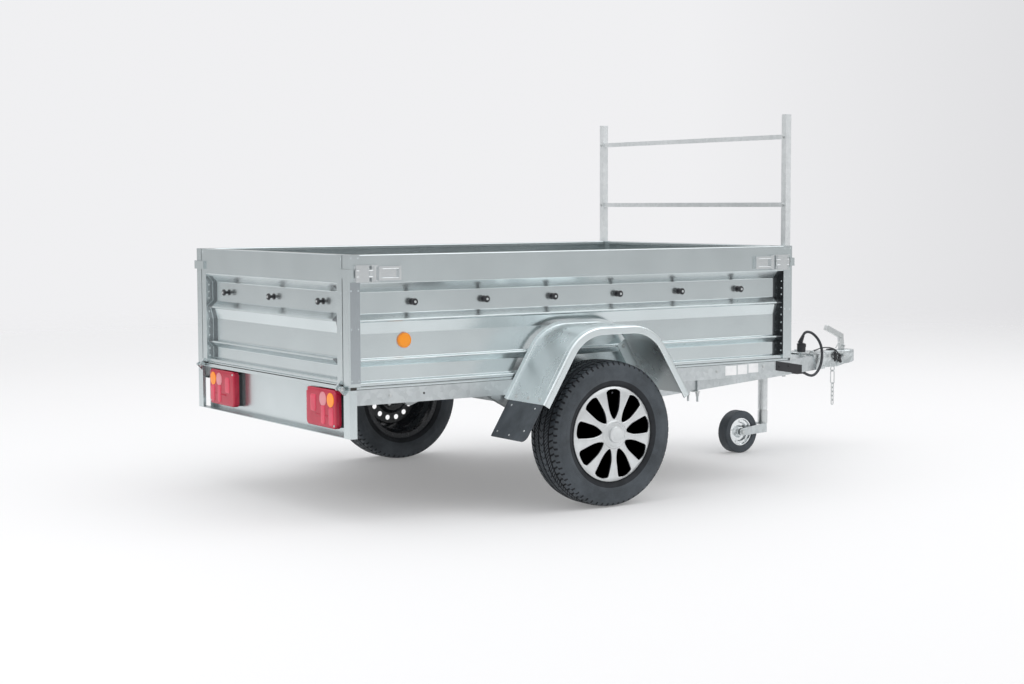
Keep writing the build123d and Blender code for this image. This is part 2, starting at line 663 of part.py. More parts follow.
def lamp():
    """Left rear lamp: rounded lens with two round chambers on a stepped base."""
    outer = HALF_WIDTH - LAMP_IN
    place = Pos(0, outer - LAMP_WIDTH / 2, LAMP_BOTTOM + LAMP_HEIGHT / 2)
    lens_depth = LIGHT_BAR_X - LAMP_BASE
    lens = Pos(lens_depth / 2, 0, 0) * Box(lens_depth, LAMP_WIDTH, LAMP_HEIGHT)
    lens = fillet(lens.edges().filter_by(Axis.X), LAMP_CORNER)
    lens = chamfer(lens.faces().sort_by(Axis.X)[0].edges(), LAMP_EDGE)
    inset = 2 * LAMP_BASE_INSET
    base = Pos(lens_depth + LAMP_BASE / 2, 0, 0) * Box(LAMP_BASE, LAMP_WIDTH - inset, LAMP_HEIGHT - inset)
    base = fillet(base.edges().filter_by(Axis.X), LAMP_CORNER - LAMP_BASE_INSET)
    spot = Rot(0, 90, 0) * Cylinder(INDICATOR_RADIUS, 2 * INDICATOR_PROUD)
    spot_y = LAMP_WIDTH / 2 - INDICATOR_IN
    spot_z = LAMP_HEIGHT / 2 - INDICATOR_IN
    spots = [Pos(0, y, spot_z) * spot for y in (spot_y, spot_y - INDICATOR_PITCH)]
    return place * (lens + base + spots)


def floor_panel():
    """Plywood floor on the frame, its edges covered at both ends and set back at the sides."""
    half = HALF_WIDTH - FLOOR_SETBACK
    start = EDGE_LIP_INSET + EDGE_LIP_SHEET
    return block(start, BOX_LENGTH - start, -half, half, RAIL_TOP, FLOOR_TOP)


# ---- running gear ----

def axle():
    """Square axle tube with a pad under each drawbar beam."""
    bore = AXLE_TUBE - 2 * AXLE_TUBE_WALL
    profile = Rectangle(AXLE_TUBE, AXLE_TUBE) - Rectangle(bore, bore)
    tube = Pos(AXLE_TUBE_X, 0, AXLE_TUBE_Z) * extrude(Plane.XZ * profile, AXLE_TUBE_END, both=True)
    half = AXLE_PAD_LENGTH / 2
    pad = block(AXLE_TUBE_X - half, AXLE_TUBE_X + half, BEAM_REAR_Y - BEAM_WIDTH - AXLE_PAD_OVERHANG,
                BEAM_REAR_Y, BEAM_BOTTOM - AXLE_PAD, BEAM_BOTTOM)
    return tube + [pad, to_left(pad)]


def swing_arm():
    """Left trailing arm from the tube's end to the stub axle."""
    root = Pos(AXLE_TUBE_X, AXLE_TUBE_Z) * Circle(ARM_ROOT_RADIUS)
    tip = Pos(AXLE_X, TYRE_RADIUS) * Circle(ARM_TIP_RADIUS)
    end = AXLE_TUBE_END + ARM_THICKNESS
    arm = Pos(0, end, 0) * extrude(Plane.XZ * make_hull(root.edges() + tip.edges()), ARM_THICKNESS)
    arm = chamfer(arm.faces().sort_by(Axis.Y)[-1].edges(), ARM_EDGE)
    return arm + pin_along_y(AXLE_X, end, WHEEL_Y + STUB_PROUD, TYRE_RADIUS, STUB_RADIUS)


def tyre():
    """Tyre about the Y axis with its bulged sidewalls, sloping shoulders and crowned tread."""
    half = TYRE_HALF_WIDTH
    wall = (TYRE_RADIUS - RIM_FLANGE_RADIUS) / 10
    side = [
        (RIM_HALF_WIDTH, RIM_RADIUS), (RIM_HALF_WIDTH, RIM_FLANGE_RADIUS),
        (half - SIDEWALL_STEP, RIM_FLANGE_RADIUS + 1.5 * wall), (half, RIM_FLANGE_RADIUS + 4 * wall),
        (half, RIM_FLANGE_RADIUS + 6 * wall), (half - SIDEWALL_STEP / 2, TYRE_RADIUS - SHOULDER_DROP),
        (TREAD_HALF_WIDTH, TYRE_RADIUS - TREAD_DROP), (TREAD_HALF_WIDTH / 2, TYRE_RADIUS)]
    return wheel_revolve(side + [(-y, r) for y, r in reversed(side)])


def rim():
    """Steel rim: flanges, well, dished disc with round vents, and the hub on the stub axle."""
    half = RIM_HALF_WIDTH
    edge = half + RIM_FLANGE
    bed = RIM_RADIUS - RIM_STEEL
    bore = STUB_RADIUS + PIN_CLEARANCE
    barrel = [
        (half, RIM_FLANGE_RADIUS), (half, RIM_RADIUS), (-half, RIM_RADIUS), (-half, RIM_FLANGE_RADIUS),
        (-edge, RIM_FLANGE_RADIUS), (-edge, bed), (24 - half, bed - 2), (44 - half, RIM_WELL_RADIUS),
        (half - 40, RIM_WELL_RADIUS), (half - 22, bed - 2), (edge, bed), (edge, RIM_FLANGE_RADIUS)]
    face = DISC_OFFSET
    back = DISC_OFFSET - RIM_STEEL
    seat = DISC_OFFSET - HUB_SET_BACK
    disc = [
        (face - 42, RIM_WELL_RADIUS + 1), (face, DISC_RADIUS), (face, DISC_STEP_RADIUS),
        (seat, DISC_STEP_RADIUS - 16), (seat, bore), (seat - RIM_STEEL, bore),
        (seat - RIM_STEEL, DISC_STEP_RADIUS - 14), (back, DISC_STEP_RADIUS + 2), (back, DISC_RADIUS - 4),
        (face - 46, RIM_WELL_RADIUS + 1)]
    flange = seat - RIM_STEEL
    hub = [
        (flange, bore), (flange, HUB_FLANGE_RADIUS), (flange - 12, HUB_FLANGE_RADIUS),
        (flange - 12, HUB_RADIUS), (flange - HUB_LENGTH, HUB_RADIUS - 4), (flange - HUB_LENGTH, bore)]
    vent = Pos(VENT_CIRCLE, 0, 0) * Rot(90, 0, 0) * Cylinder(VENT_RADIUS, 4 * half)
    vents = [Rot(0, i * 360 / VENT_COUNT, 0) * vent for i in range(VENT_COUNT)]
    return wheel_revolve(barrel) + (wheel_revolve(disc) - vents) + wheel_revolve(hub)


def cover():
    """Dished wheel cover with tapered windows, a raised boss and a plain centre cap."""
    face = RIM_HALF_WIDTH + RIM_FLANGE
    crown = face + COVER_DISH
    shoulder = crown - 3
    dish = [
        (face, COVER_RADIUS), (face, COVER_BROW_RADIUS - 2), (shoulder, WINDOW_OUTER - 22),
        (crown, COVER_CROWN_RADIUS), (crown, 0), (crown + CAP_HEIGHT, 0),
        (crown + CAP_HEIGHT, CAP_RADIUS - 5), (crown + CAP_HEIGHT - 5, CAP_RADIUS),
        (crown + BOSS_HEIGHT, CAP_RADIUS), (crown + BOSS_HEIGHT, BOSS_RADIUS),
        (crown + COVER_SHEET, BOSS_RADIUS + 8), (crown + COVER_SHEET, COVER_CROWN_RADIUS),
        (shoulder + COVER_SHEET, WINDOW_OUTER - 22), (face + COVER_SHEET + 1, COVER_BROW_RADIUS),
        (face + COVER_SHEET, COVER_RADIUS)]
    inner = WINDOW_INNER_WIDTH / 2
    outer = WINDOW_OUTER_WIDTH / 2
    window = Polygon((-inner, WINDOW_INNER), (inner, WINDOW_INNER), (outer, WINDOW_OUTER),
                     (-outer, WINDOW_OUTER), align=None)
    window = fillet(window.vertices(), WINDOW_CORNER)
    cutter = extrude(Plane.XZ * window, 2 * crown, both=True)
    return wheel_revolve(dish) - [Rot(0, i * 360 / WINDOW_COUNT, 0) * cutter for i in range(WINDOW_COUNT)]


def hub_cap():
    """Plain grease cap over the end of the stub axle."""
    seat = DISC_OFFSET - HUB_SET_BACK
    end = seat + HUB_CAP_HEIGHT
    return wheel_revolve([
        (seat, CAP_RADIUS - SHEET), (seat, CAP_RADIUS), (end - 6, CAP_RADIUS), (end, CAP_RADIUS - 8), (end, 0),
        (end - SHEET, 0), (end - SHEET, CAP_RADIUS - 9), (end - 7, CAP_RADIUS - SHEET)])


def on_left_wheel(shape):
    """Piece drawn about the Y axis moved to the left wheel."""
    return Pos(AXLE_X, WHEEL_Y, TYRE_RADIUS) * shape


# ---- mudguards ----

GUARD_SLOPE = atan2(GUARD_TOP - GUARD_BOTTOM, GUARD_HALF_BOTTOM - GUARD_HALF_TOP)


def guard_line():
    """Side view of the right mudguard, from its rear foot to its front foot."""
    feet = [(AXLE_X - GUARD_HALF_BOTTOM, 0, GUARD_BOTTOM), (AXLE_X - GUARD_HALF_TOP, 0, GUARD_TOP),
            (AXLE_X + GUARD_HALF_TOP, 0, GUARD_TOP), (AXLE_X + GUARD_HALF_BOTTOM, 0, GUARD_BOTTOM)]
    return FilletPolyline(*feet, radius=GUARD_BEND)


def mudguard():
    """Right mudguard: one bent profile with a wall flange and a beaded skirt, and its front stay."""
    section = FilletPolyline(
        (SHEET, -GUARD_FLANGE), (SHEET, 0), (GUARD_WIDTH, 0), (GUARD_WIDTH, GUARD_SKIRT),
        (GUARD_WIDTH - GUARD_BEAD, GUARD_SKIRT), radius=[SHEET + 1, GUARD_EDGE_RADIUS, SHEET + 1])
    profile = make_face(offset(section, amount=SHEET, side=Side.LEFT))
    path = guard_line()
    start = Plane(origin=path @ 0 + Vector(0, -HALF_WIDTH, 0), x_dir=(0, -1, 0), z_dir=path % 0)
    guard = sweep(start * profile, path=Pos(0, -HALF_WIDTH, 0) * path)
    ends = [(AXLE_X + GUARD_HALF_TOP + (GUARD_TOP - z) / tan(GUARD_SLOPE), z) for z in (STAY_TOP, STAY_BOTTOM)]
    stay = Pos(0, -HALF_WIDTH, 0) * extrude(Plane.XZ * ribbon(ends, -STAY_WIDTH, -SHEET / 2), STAY_SHEET)
    return guard + stay


def mudflap():
    """Right mudflap, a rubber sheet inside the rear slope of the mudguard."""
    foot_x = AXLE_X - GUARD_HALF_BOTTOM - FLAP_HANG * cos(GUARD_SLOPE)
    foot_z = GUARD_BOTTOM - FLAP_HANG * sin(GUARD_SLOPE)
    plane = Plane(origin=(foot_x, 0, foot_z), x_dir=(0, -1, 0), z_dir=(-sin(GUARD_SLOPE), 0, cos(GUARD_SLOPE)))
    width = GUARD_WIDTH - 2 * FLAP_SIDE_GAP
    sheet = Pos(HALF_WIDTH + GUARD_WIDTH / 2, FLAP_LENGTH / 2) * Rectangle(width, FLAP_LENGTH)
    corner = sheet.vertices().sort_by(Axis.X)[-2:].sort_by(Axis.Y)[0]
    sheet = fillet(corner, FLAP_CORNER)
    return extrude(plane * Pos(0, 0, -SHEET - FLAP_THICKNESS) * sheet, FLAP_THICKNESS)


# ---- ladder rack ----

def rack_upright():
    """Right upright of the rack on the front end profile."""
    bore = RACK_TUBE - 2 * RACK_TUBE_WALL
    tube = Rectangle(RACK_TUBE, RACK_TUBE) - Rectangle(bore, bore)
    foot = Pos(BOX_LENGTH - RACK_CENTRE_BACK, RACK_CENTRE_IN - HALF_WIDTH, RIM_Z)
    return foot * extrude(tube, RACK_HEIGHT)


def rack_bar(drop):
    """Crossbar between the uprights, at a distance below their tops."""
    reach = HALF_WIDTH - RACK_CENTRE_IN - RACK_TUBE / 2
    z = RIM_Z + RACK_HEIGHT - drop
    return Pos(BOX_LENGTH - RACK_CENTRE_BACK, 0, z) * Box(RACK_BAR, 2 * reach, RACK_BAR)


# ---- coupling ----

def coupling_plan(steel):
    """Plan of the coupling: housing over the beams' noses, neck and round head, less its steel."""
    inset = COUPLING_STEEL - steel
    neck_x = BALL_X - COUPLING_NECK_BACK
    neck = COUPLING_HALF_WIDTH - steel
    right = [(COUPLING_REAR_X, -beam_outer_y(COUPLING_REAR_X) - inset), (BEAM_NOSE_X + inset, -BEAM_NOSE_Y - inset),
             (neck_x, -neck), (BALL_X, -neck)]
    body = Polygon(*right, *[(x, -y) for x, y in reversed(right)], align=None)
    return body + Pos(BALL_X, 0) * Circle(HEAD_RADIUS - steel)


def coupling():
    """Pressed coupling: open underneath, with a round head and a bored seat for the ball."""
    height = HEAD_TOP - BEAM_BOTTOM
    body = Pos(0, 0, BEAM_BOTTOM) * extrude(coupling_plan(0), height)
    body = chamfer(body.faces().sort_by(Axis.Z)[-1].edges(), COUPLING_STEEL)
    body -= Pos(0, 0, BEAM_BOTTOM) * extrude(coupling_plan(COUPLING_STEEL), height - COUPLING_STEEL)
    body -= block(COUPLING_REAR_X, COUPLING_REAR_X + COUPLING_STEEL, -HALF_WIDTH, HALF_WIDTH,
                  BEAM_BOTTOM, PLATE_TOP)
    body += Pos(BALL_X, 0, BALL_Z - BALL_SEAT_DEPTH) * Cylinder(
        BALL_SEAT_RADIUS, HEAD_TOP - BALL_Z + BALL_SEAT_DEPTH - COUPLING_STEEL / 2, align=LOW)
    front = BALL_X + HEAD_RADIUS
    rise = Polygon((BALL_X - HEAD_RISE_BACK, BEAM_BOTTOM), (front, BEAM_BOTTOM), (front, BEAM_BOTTOM + HEAD_RISE),
                   align=None)
    slant = Polygon((COUPLING_REAR_X, BEAM_BOTTOM), (COUPLING_REAR_X + COUPLING_REAR_SLANT, BEAM_BOTTOM),
                    (COUPLING_REAR_X, HEAD_TOP - COUPLING_STEEL), align=None)
    body -= extrude(Plane.XZ * (rise + slant), HALF_WIDTH, both=True)
    seam = block(BALL_X - COUPLING_NECK_BACK, BALL_X - HEAD_RISE_BACK, COUPLING_HALF_WIDTH - COUPLING_SEAM_DEPTH,
                 COUPLING_HALF_WIDTH, BEAM_BOTTOM, COUPLING_SEAM)
    body -= [seam, to_left(seam)]
    body -= Pos(BALL_X, 0, BALL_Z) * Sphere(BALL_CAVITY_RADIUS)
    return body - Pos(BALL_X, 0, BEAM_BOTTOM) * Cylinder(BALL_CAVITY_RADIUS, BALL_Z - BEAM_BOTTOM, align=LOW)


def coupling_handle():
    """Pressed lever that stands up over the head and points back."""
    line = [(BALL_X - HANDLE_BACK, HEAD_TOP), (BALL_X - HANDLE_KNEE_BACK, HEAD_TOP + HANDLE_KNEE_RISE),
            (BALL_X - HANDLE_TIP_BACK, HEAD_TOP + HANDLE_TIP_RISE)]
    side = ribbon(line, -HANDLE_HALF_DEPTH, HANDLE_HALF_DEPTH)
    side = fillet(side.vertices().sort_by(Axis.Y)[2:], HANDLE_EDGE)
    side -= Pos(BALL_X, HEAD_TOP - HANDLE_HALF_DEPTH) * Rectangle(4 * HEAD_RADIUS, 2 * HANDLE_HALF_DEPTH)
    lever = extrude(Plane.XZ * side, HANDLE_HALF_WIDTH, both=True)
    return chamfer(lever.faces().filter_by(Axis.Y).edges(), 2)


def chain_link(length, width):
    """Round-cornered link that hangs from z = 0 in the XZ plane, of eight-sided wire."""
    bend = width / 2
    corner = bend * 0.586
    outline = Pos(0, -length / 2) * Rectangle(width, length)
    outline = chamfer(outline.vertices(), corner)
    ring = outline - offset(outline, -CHAIN_WIRE)
    link = extrude(Plane.XZ * ring, CHAIN_WIRE / 2, both=True)
    return chamfer(link.edges().filter_by(Axis.Y, reverse=True), CHAIN_WIRE * 0.28)


def safety_chain():
    """Safety chain: an eye under the coupling, a long shackle and links that seat in each other."""
    eye = Pos(0, 0, CHAIN_WIRE) * chain_link(LINK_LENGTH, SHACKLE_WIDTH)
    eye -= block(-SHACKLE_WIDTH, SHACKLE_WIDTH, -CHAIN_WIRE, CHAIN_WIRE, 0, LINK_LENGTH)
    top = 3 * CHAIN_WIRE - LINK_LENGTH - LINK_BITE
    chain = eye + Pos(0, 0, top) * Rot(0, 0, 90) * chain_link(SHACKLE_LENGTH, SHACKLE_WIDTH)
    top += 2 * CHAIN_WIRE - SHACKLE_LENGTH - LINK_BITE
    for i in range(LINK_COUNT):
        chain += Pos(0, 0, top) * Rot(0, 0, 90 * i) * chain_link(LINK_LENGTH, LINK_WIDTH)
        top += 2 * CHAIN_WIRE - LINK_LENGTH - LINK_BITE
    return Pos(CHAIN_X, CHAIN_Y, BEAM_BOTTOM) * chain


def breakaway_gland():
    """Small gland on the housing for the breakaway cable."""
    tip = Vector(*BREAKAWAY_POINTS[0])
    aim = (tip - Vector(*BREAKAWAY_POINTS[1])).normalized()
    boss = bar_between(tip, tip + aim * HOOK_LENGTH, BREAKAWAY_GLAND_RADIUS)
    return boss - Pos(tip.X, tip.Y, 0) * Cylinder(HALF_WIDTH, HEAD_TOP, align=LOW)


def breakaway_hook():
    """Body of the breakaway cable's hook, clipped against the side of the neck."""
    tip = Vector(*BREAKAWAY_POINTS[-1])
    aim = (tip - Vector(*BREAKAWAY_POINTS[-2])).normalized()
    body = bar_between(tip, tip + aim * HOOK_LENGTH, HOOK_RADIUS)
    clip = tip + aim * HOOK_LENGTH * 0.7
    half = HOOK_RADIUS / 2
    return body + block(clip.X - HOOK_RADIUS, clip.X + half, clip.Y, -COUPLING_HALF_WIDTH, clip.Z - half, clip.Z + half)


# ---- jockey wheel ----

def jockey_tube():
    """Outer tube with a cap and the crank."""
    height = JOCKEY_TUBE_TOP - JOCKEY_TUBE_BOTTOM
    tube = Cylinder(JOCKEY_TUBE_RADIUS, height, align=LOW)
    tube -= Cylinder(JOCKEY_TUBE_RADIUS - JOCKEY_TUBE_WALL, height - 2 * JOCKEY_TUBE_WALL, align=LOW)
    shaft = Pos(0, 0, height) * Cylinder(CRANK_SHAFT_RADIUS, CRANK_SHAFT, align=LOW)
    arm = block(-CRANK_ARM_HALF, CRANK_ARM_HALF, -CRANK_ARM_HALF, CRANK_REACH, height + CRANK_SHAFT - CRANK_ARM,
                height + CRANK_SHAFT)
    arm = fillet(arm.edges().filter_by(Axis.Z), CRANK_ARM_HALF - 1)
    grip = Pos(0, CRANK_REACH - CRANK_ARM_HALF, height + CRANK_SHAFT) * Cylinder(
        CRANK_GRIP_RADIUS, CRANK_GRIP, align=LOW)
    return Pos(JOCKEY_X, 0, JOCKEY_TUBE_BOTTOM) * (tube + shaft + arm + grip)


def jockey_inner():
    """Inner tube with the sleeve that carries the fork."""
    radius = JOCKEY_TUBE_RADIUS - JOCKEY_TUBE_WALL - PIN_CLEARANCE
    rise = JOCKEY_INNER_TOP - JOCKEY_SLEEVE_BOTTOM
    sleeve_height = JOCKEY_SLEEVE_TOP - JOCKEY_SLEEVE_BOTTOM
    body = Cylinder(radius, rise, align=LOW) + Cylinder(JOCKEY_SLEEVE_RADIUS, sleeve_height, align=LOW)
    body -= Pos(0, 0, sleeve_height) * Cylinder(radius - JOCKEY_TUBE_WALL, rise, align=LOW)
    body -= Cylinder(KING_PIN_RADIUS + PIN_CLEARANCE, KING_PIN_LENGTH * 1.2, align=LOW)
    return Pos(JOCKEY_X, 0, JOCKEY_SLEEVE_BOTTOM) * body


def jockey_fork():
    """Fork with two plates, a rounded bridge under the sleeve, the king pin and the wheel's axle."""
    top = JOCKEY_SLEEVE_BOTTOM - FORK_TOP_GAP
    inner = JOCKEY_HALF_WIDTH + FORK_GAP
    outer = inner + FORK_PLATE
    heel_x = JOCKEY_X - JOCKEY_AXLE_RADIUS
    heel = Polygon((heel_x - FORK_HEEL, top), (heel_x, top), (heel_x, top - FORK_HEIGHT), align=None)
    eye = Pos(JOCKEY_WHEEL_X, JOCKEY_RADIUS) * Circle(FORK_EYE_RADIUS)
    plate = Pos(0, outer, 0) * extrude(Plane.XZ * make_hull(eye.edges() + heel.edges()), FORK_PLATE)
    seat = Pos(heel_x - FORK_HEEL / 2, 0) * Rectangle(FORK_HEEL, 2 * inner)
    round_end = Pos(JOCKEY_X, 0) * Circle(BRIDGE_RADIUS)
    bridge = Pos(0, 0, top - FORK_PLATE) * extrude(seat + round_end, FORK_PLATE)
    pin = Pos(JOCKEY_X, 0, top - FORK_PLATE) * Cylinder(KING_PIN_RADIUS, KING_PIN_LENGTH, align=LOW)
    reach = outer + JOCKEY_AXLE_RADIUS
    axle_pin = pin_along_y(JOCKEY_WHEEL_X, -reach, reach, JOCKEY_RADIUS, JOCKEY_AXLE_RADIUS)
    return plate + [to_left(plate), bridge, pin, axle_pin]


def jockey_rim():
    """Stepped steel rim of the jockey wheel, with a bushed hub."""
    half = JOCKEY_HALF_WIDTH
    edge = half - JOCKEY_TREAD_EDGE
    bore = JOCKEY_AXLE_RADIUS + PIN_CLEARANCE
    right = [
        (edge, JOCKEY_RIM_RADIUS), (edge, JOCKEY_RIM_RADIUS - 5), (edge - 8, JOCKEY_RIM_RADIUS - 8),
        (edge - 8, JOCKEY_RIM_RADIUS - 20), (6, JOCKEY_RIM_RADIUS - 24), (6, JOCKEY_HUB_RADIUS + 8),
        (edge - 4, JOCKEY_HUB_RADIUS), (half, JOCKEY_HUB_RADIUS), (half, bore)]
    return wheel_revolve(right + [(-y, r) for y, r in reversed(right)])


def jockey_tyre():
    """Solid rubber tyre with a flat tread."""
    half = JOCKEY_HALF_WIDTH
    edge = half - JOCKEY_TREAD_EDGE
    right = [(edge, JOCKEY_RIM_RADIUS), (half, JOCKEY_RIM_RADIUS + JOCKEY_TREAD_EDGE),
             (half, JOCKEY_RADIUS - JOCKEY_TREAD_EDGE), (edge, JOCKEY_RADIUS)]
    return wheel_revolve(right + [(-y, r) for y, r in reversed(right)])


def on_jockey(shape):
    """Piece drawn about the Y axis moved to the jockey wheel."""
    return Pos(JOCKEY_WHEEL_X, 0, JOCKEY_RADIUS) * shape


# ---- parked plug and its cable ----

def plug_holder():
    """Parking socket on the nose plate: a short post with a flange under the plug."""
    return Pos(PLUG_X, PLUG_Y, PLATE_TOP) * turned([
        (0, 0), (HOLDER_RADIUS, 0), (HOLDER_RADIUS, HOLDER_HEIGHT - HOLDER_FLANGE),
        (HOLDER_FLANGE_RADIUS, HOLDER_HEIGHT - HOLDER_FLANGE), (HOLDER_FLANGE_RADIUS, HOLDER_HEIGHT),
        (0, HOLDER_HEIGHT)])


def plug():
    """Plug body with a ribbed collar and its tapered strain relief."""
    body = Pos(PLUG_X, PLUG_Y, PLATE_TOP + HOLDER_HEIGHT) * turned([
        (0, 0), (PLUG_RADIUS, 0), (PLUG_RADIUS, PLUG_HEIGHT - PLUG_EDGE), (PLUG_RADIUS + 2, PLUG_HEIGHT - PLUG_EDGE),
        (PLUG_RADIUS + 2, PLUG_HEIGHT), (0, PLUG_HEIGHT)])
    tip = Vector(*CABLE_POINTS[0])
    aim = (Vector(*CABLE_POINTS[1]) - tip).normalized()
    root = Plane(origin=tip - aim * BOOT_LENGTH, z_dir=aim)
    return body + root.location * Cone(BOOT_ROOT_RADIUS, BOOT_RADIUS, BOOT_LENGTH, align=LOW)


def cable_gland():
    """Slanting gland on the underside of the right drawbar beam."""
    tip = Vector(*CABLE_POINTS[-1])
    aim = (tip - Vector(*CABLE_POINTS[-2])).normalized()
    boss = bar_between(tip, tip + aim * BOOT_LENGTH, BOOT_RADIUS)
    return boss - Pos(tip.X, tip.Y, BEAM_BOTTOM) * Box(BOX_WIDTH, BOX_WIDTH, BOX_WIDTH, align=LOW)


# ---- brackets and reflectors on the sides ----

def marker_bracket():
    """Slanting bracket on the front end of the right rail with a plain marker lamp body."""
    rear = BOX_LENGTH - MARKER_BEHIND
    front = BOX_LENGTH + MARKER_AHEAD
    low = MARKER_TOP - MARKER_HEIGHT
    side = Polygon((rear, low), (front, low - MARKER_FALL), (front, MARKER_TOP - MARKER_FALL), (rear, MARKER_TOP),
                   align=None)
    plate = Pos(0, -HALF_WIDTH, 0) * extrude(Plane.XZ * side, MARKER_SHEET)
    body = block(front - MARKER_LAMP, front, -HALF_WIDTH, MARKER_LAMP_DEPTH - HALF_WIDTH, low - MARKER_FALL,
                 MARKER_TOP - MARKER_FALL)
    return plate + fillet(body.edges().filter_by(Axis.X), 2 * SHEET)


def reflectors():
    """Round reflectors on both side walls."""
    seat = RECESS - HALF_WIDTH
    disc = turned([(0, 0), (REFLECTOR_RADIUS, 0), (REFLECTOR_RADIUS, REFLECTOR_DEPTH - 3),
                   (REFLECTOR_RADIUS - 3, REFLECTOR_DEPTH), (0, REFLECTOR_DEPTH)])
    right = Pos(REFLECTOR_X, seat, RIM_Z - REFLECTOR_DROP) * Rot(90, 0, 0) * disc
    return Compound([right, to_left(right)])


# ---- all nodes ----

MIDDLE_X = (BALL_X + HEAD_RADIUS - HINGE_OFFSET - HINGE_EYE_RADIUS) / 2


def pair(name, left):
    """The left piece and its mirror image under their two names."""
    return {name + "_left": left, name + "_right": to_left(left)}


def trailer():
    """Every node with its solid, in the drawing frame."""
    leaf = gate()
    leaf_knobs = gate_knobs()
    sides = {
        "rail": to_left(side_rail()), "drawbar": to_left(drawbar_beam()), "swing_arm": swing_arm(),
        "wall": to_left(side_wall()), "lamp": lamp(), "mudguard": to_left(mudguard()),
        "mudflap": to_left(mudflap()), "hooks": to_left(side_knobs()), "latches": to_left(side_latches()),
        "marker_bracket": to_left(marker_bracket()), "rack_upright": to_left(rack_upright()),
        "tyre": on_left_wheel(tyre()), "rim": on_left_wheel(rim()),
    }
    nodes = {
        "cross_member_front": front_cross(),
        "cross_member_mid": cross_member(MID_CROSS_X, CROSS_WIDTH),
        "cross_member_axle": cross_member(AXLE_TUBE_X, CROSS_WIDTH),
        "nose_plate": nose_plate(), "axle_tube": axle(), "floor": floor_panel(), "light_bar": light_bar(),
        "coupling": coupling(), "coupling_handle": coupling_handle(), "safety_chain": safety_chain(),
        "breakaway_gland": breakaway_gland(), "breakaway_hook": breakaway_hook(),
        "breakaway_cable": cord("breakaway cable", BREAKAWAY_POINTS, BREAKAWAY_RADIUS),
        "side_reflectors": reflectors(),
        "rack_bar_upper": rack_bar(RACK_UPPER_DROP), "rack_bar_lower": rack_bar(RACK_LOWER_DROP),
        "jockey_tube": jockey_tube(), "jockey_inner": jockey_inner(), "jockey_fork": jockey_fork(),
        "jockey_rim": on_jockey(jockey_rim()), "jockey_tyre": on_jockey(jockey_tyre()),
        "plug_holder": plug_holder(), "plug": plug(), "cable_gland": cable_gland(),
        "cable": cord("cable", CABLE_POINTS, CABLE_RADIUS),
        "cover_left": on_left_wheel(hub_cap()), "cover_right": to_left(on_left_wheel(cover())),
        "tailgate": leaf, "tailgate_hooks": leaf_knobs,
        "front_gate": to_front(leaf), "front_gate_hooks": to_front(leaf_knobs),
    }
    for name, left in sides.items():
        nodes.update(pair(name, left))
    return nodes


os.makedirs("parts", exist_ok=True)
for name, shape in trailer().items():
    export_step(Pos(-MIDDLE_X, 0, 0) * shape, os.path.join("parts", name + ".step"))
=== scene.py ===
from math import atan2, cos, pi, radians, sin, tan

import bmesh
import bpy
from mathutils import Matrix, Vector


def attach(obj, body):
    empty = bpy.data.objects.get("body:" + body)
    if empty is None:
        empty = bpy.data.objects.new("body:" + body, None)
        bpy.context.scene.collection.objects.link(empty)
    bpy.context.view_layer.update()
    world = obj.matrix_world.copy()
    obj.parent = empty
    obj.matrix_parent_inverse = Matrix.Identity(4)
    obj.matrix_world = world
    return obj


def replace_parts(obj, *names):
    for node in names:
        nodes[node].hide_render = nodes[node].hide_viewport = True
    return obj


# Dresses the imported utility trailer: camera, cords, light, materials, wheels, lamps and fittings.
# Metres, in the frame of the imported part: +X to the coupling, +Y to the left side, +Z up.

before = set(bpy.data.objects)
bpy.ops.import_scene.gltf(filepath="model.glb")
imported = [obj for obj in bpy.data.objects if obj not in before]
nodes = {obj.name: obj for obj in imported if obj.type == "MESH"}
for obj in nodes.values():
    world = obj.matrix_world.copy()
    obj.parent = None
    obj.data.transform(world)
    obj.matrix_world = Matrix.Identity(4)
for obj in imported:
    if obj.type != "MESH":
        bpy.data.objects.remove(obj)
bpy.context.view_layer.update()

# Places below are drawn from the tailgate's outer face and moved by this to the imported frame.
MIDDLE_X = 1.664
BOX_LENGTH = 2.280      # front gate's outer face
BOX_SIDE = 0.700        # outer face of the side rails
JOCKEY_X, JOCKEY_Z = 2.575, 0.105


def at(x, y, z):
    """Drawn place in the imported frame."""
    return Vector((x - MIDDLE_X, y, z))


# ---- camera, as fitted to the photograph ----
CAMERA_PLACE = Vector((-4.929, -6.668, 1.240))
CAMERA_YAW = radians(56.06)
CAMERA_PITCH = radians(-4.46)
CAMERA_ROLL = radians(-0.184)
FOCAL_PIXELS = 1777.6
FRAME_PIXELS = 1024
SENSOR_MM = 36.0


def make_camera():
    """Camera at the photograph's viewpoint."""
    data = bpy.data.cameras.new("camera")
    data.sensor_width = SENSOR_MM
    data.lens = FOCAL_PIXELS / FRAME_PIXELS * SENSOR_MM
    camera = bpy.data.objects.new("camera", data)
    bpy.context.scene.collection.objects.link(camera)
    level = cos(CAMERA_PITCH)
    ahead = Vector((cos(CAMERA_YAW) * level, sin(CAMERA_YAW) * level, sin(CAMERA_PITCH)))
    turn = ahead.to_track_quat("-Z", "Y").to_matrix() @ Matrix.Rotation(CAMERA_ROLL, 3, "Z")
    camera.matrix_world = Matrix.Translation(CAMERA_PLACE) @ turn.to_4x4()
    bpy.context.scene.camera = camera


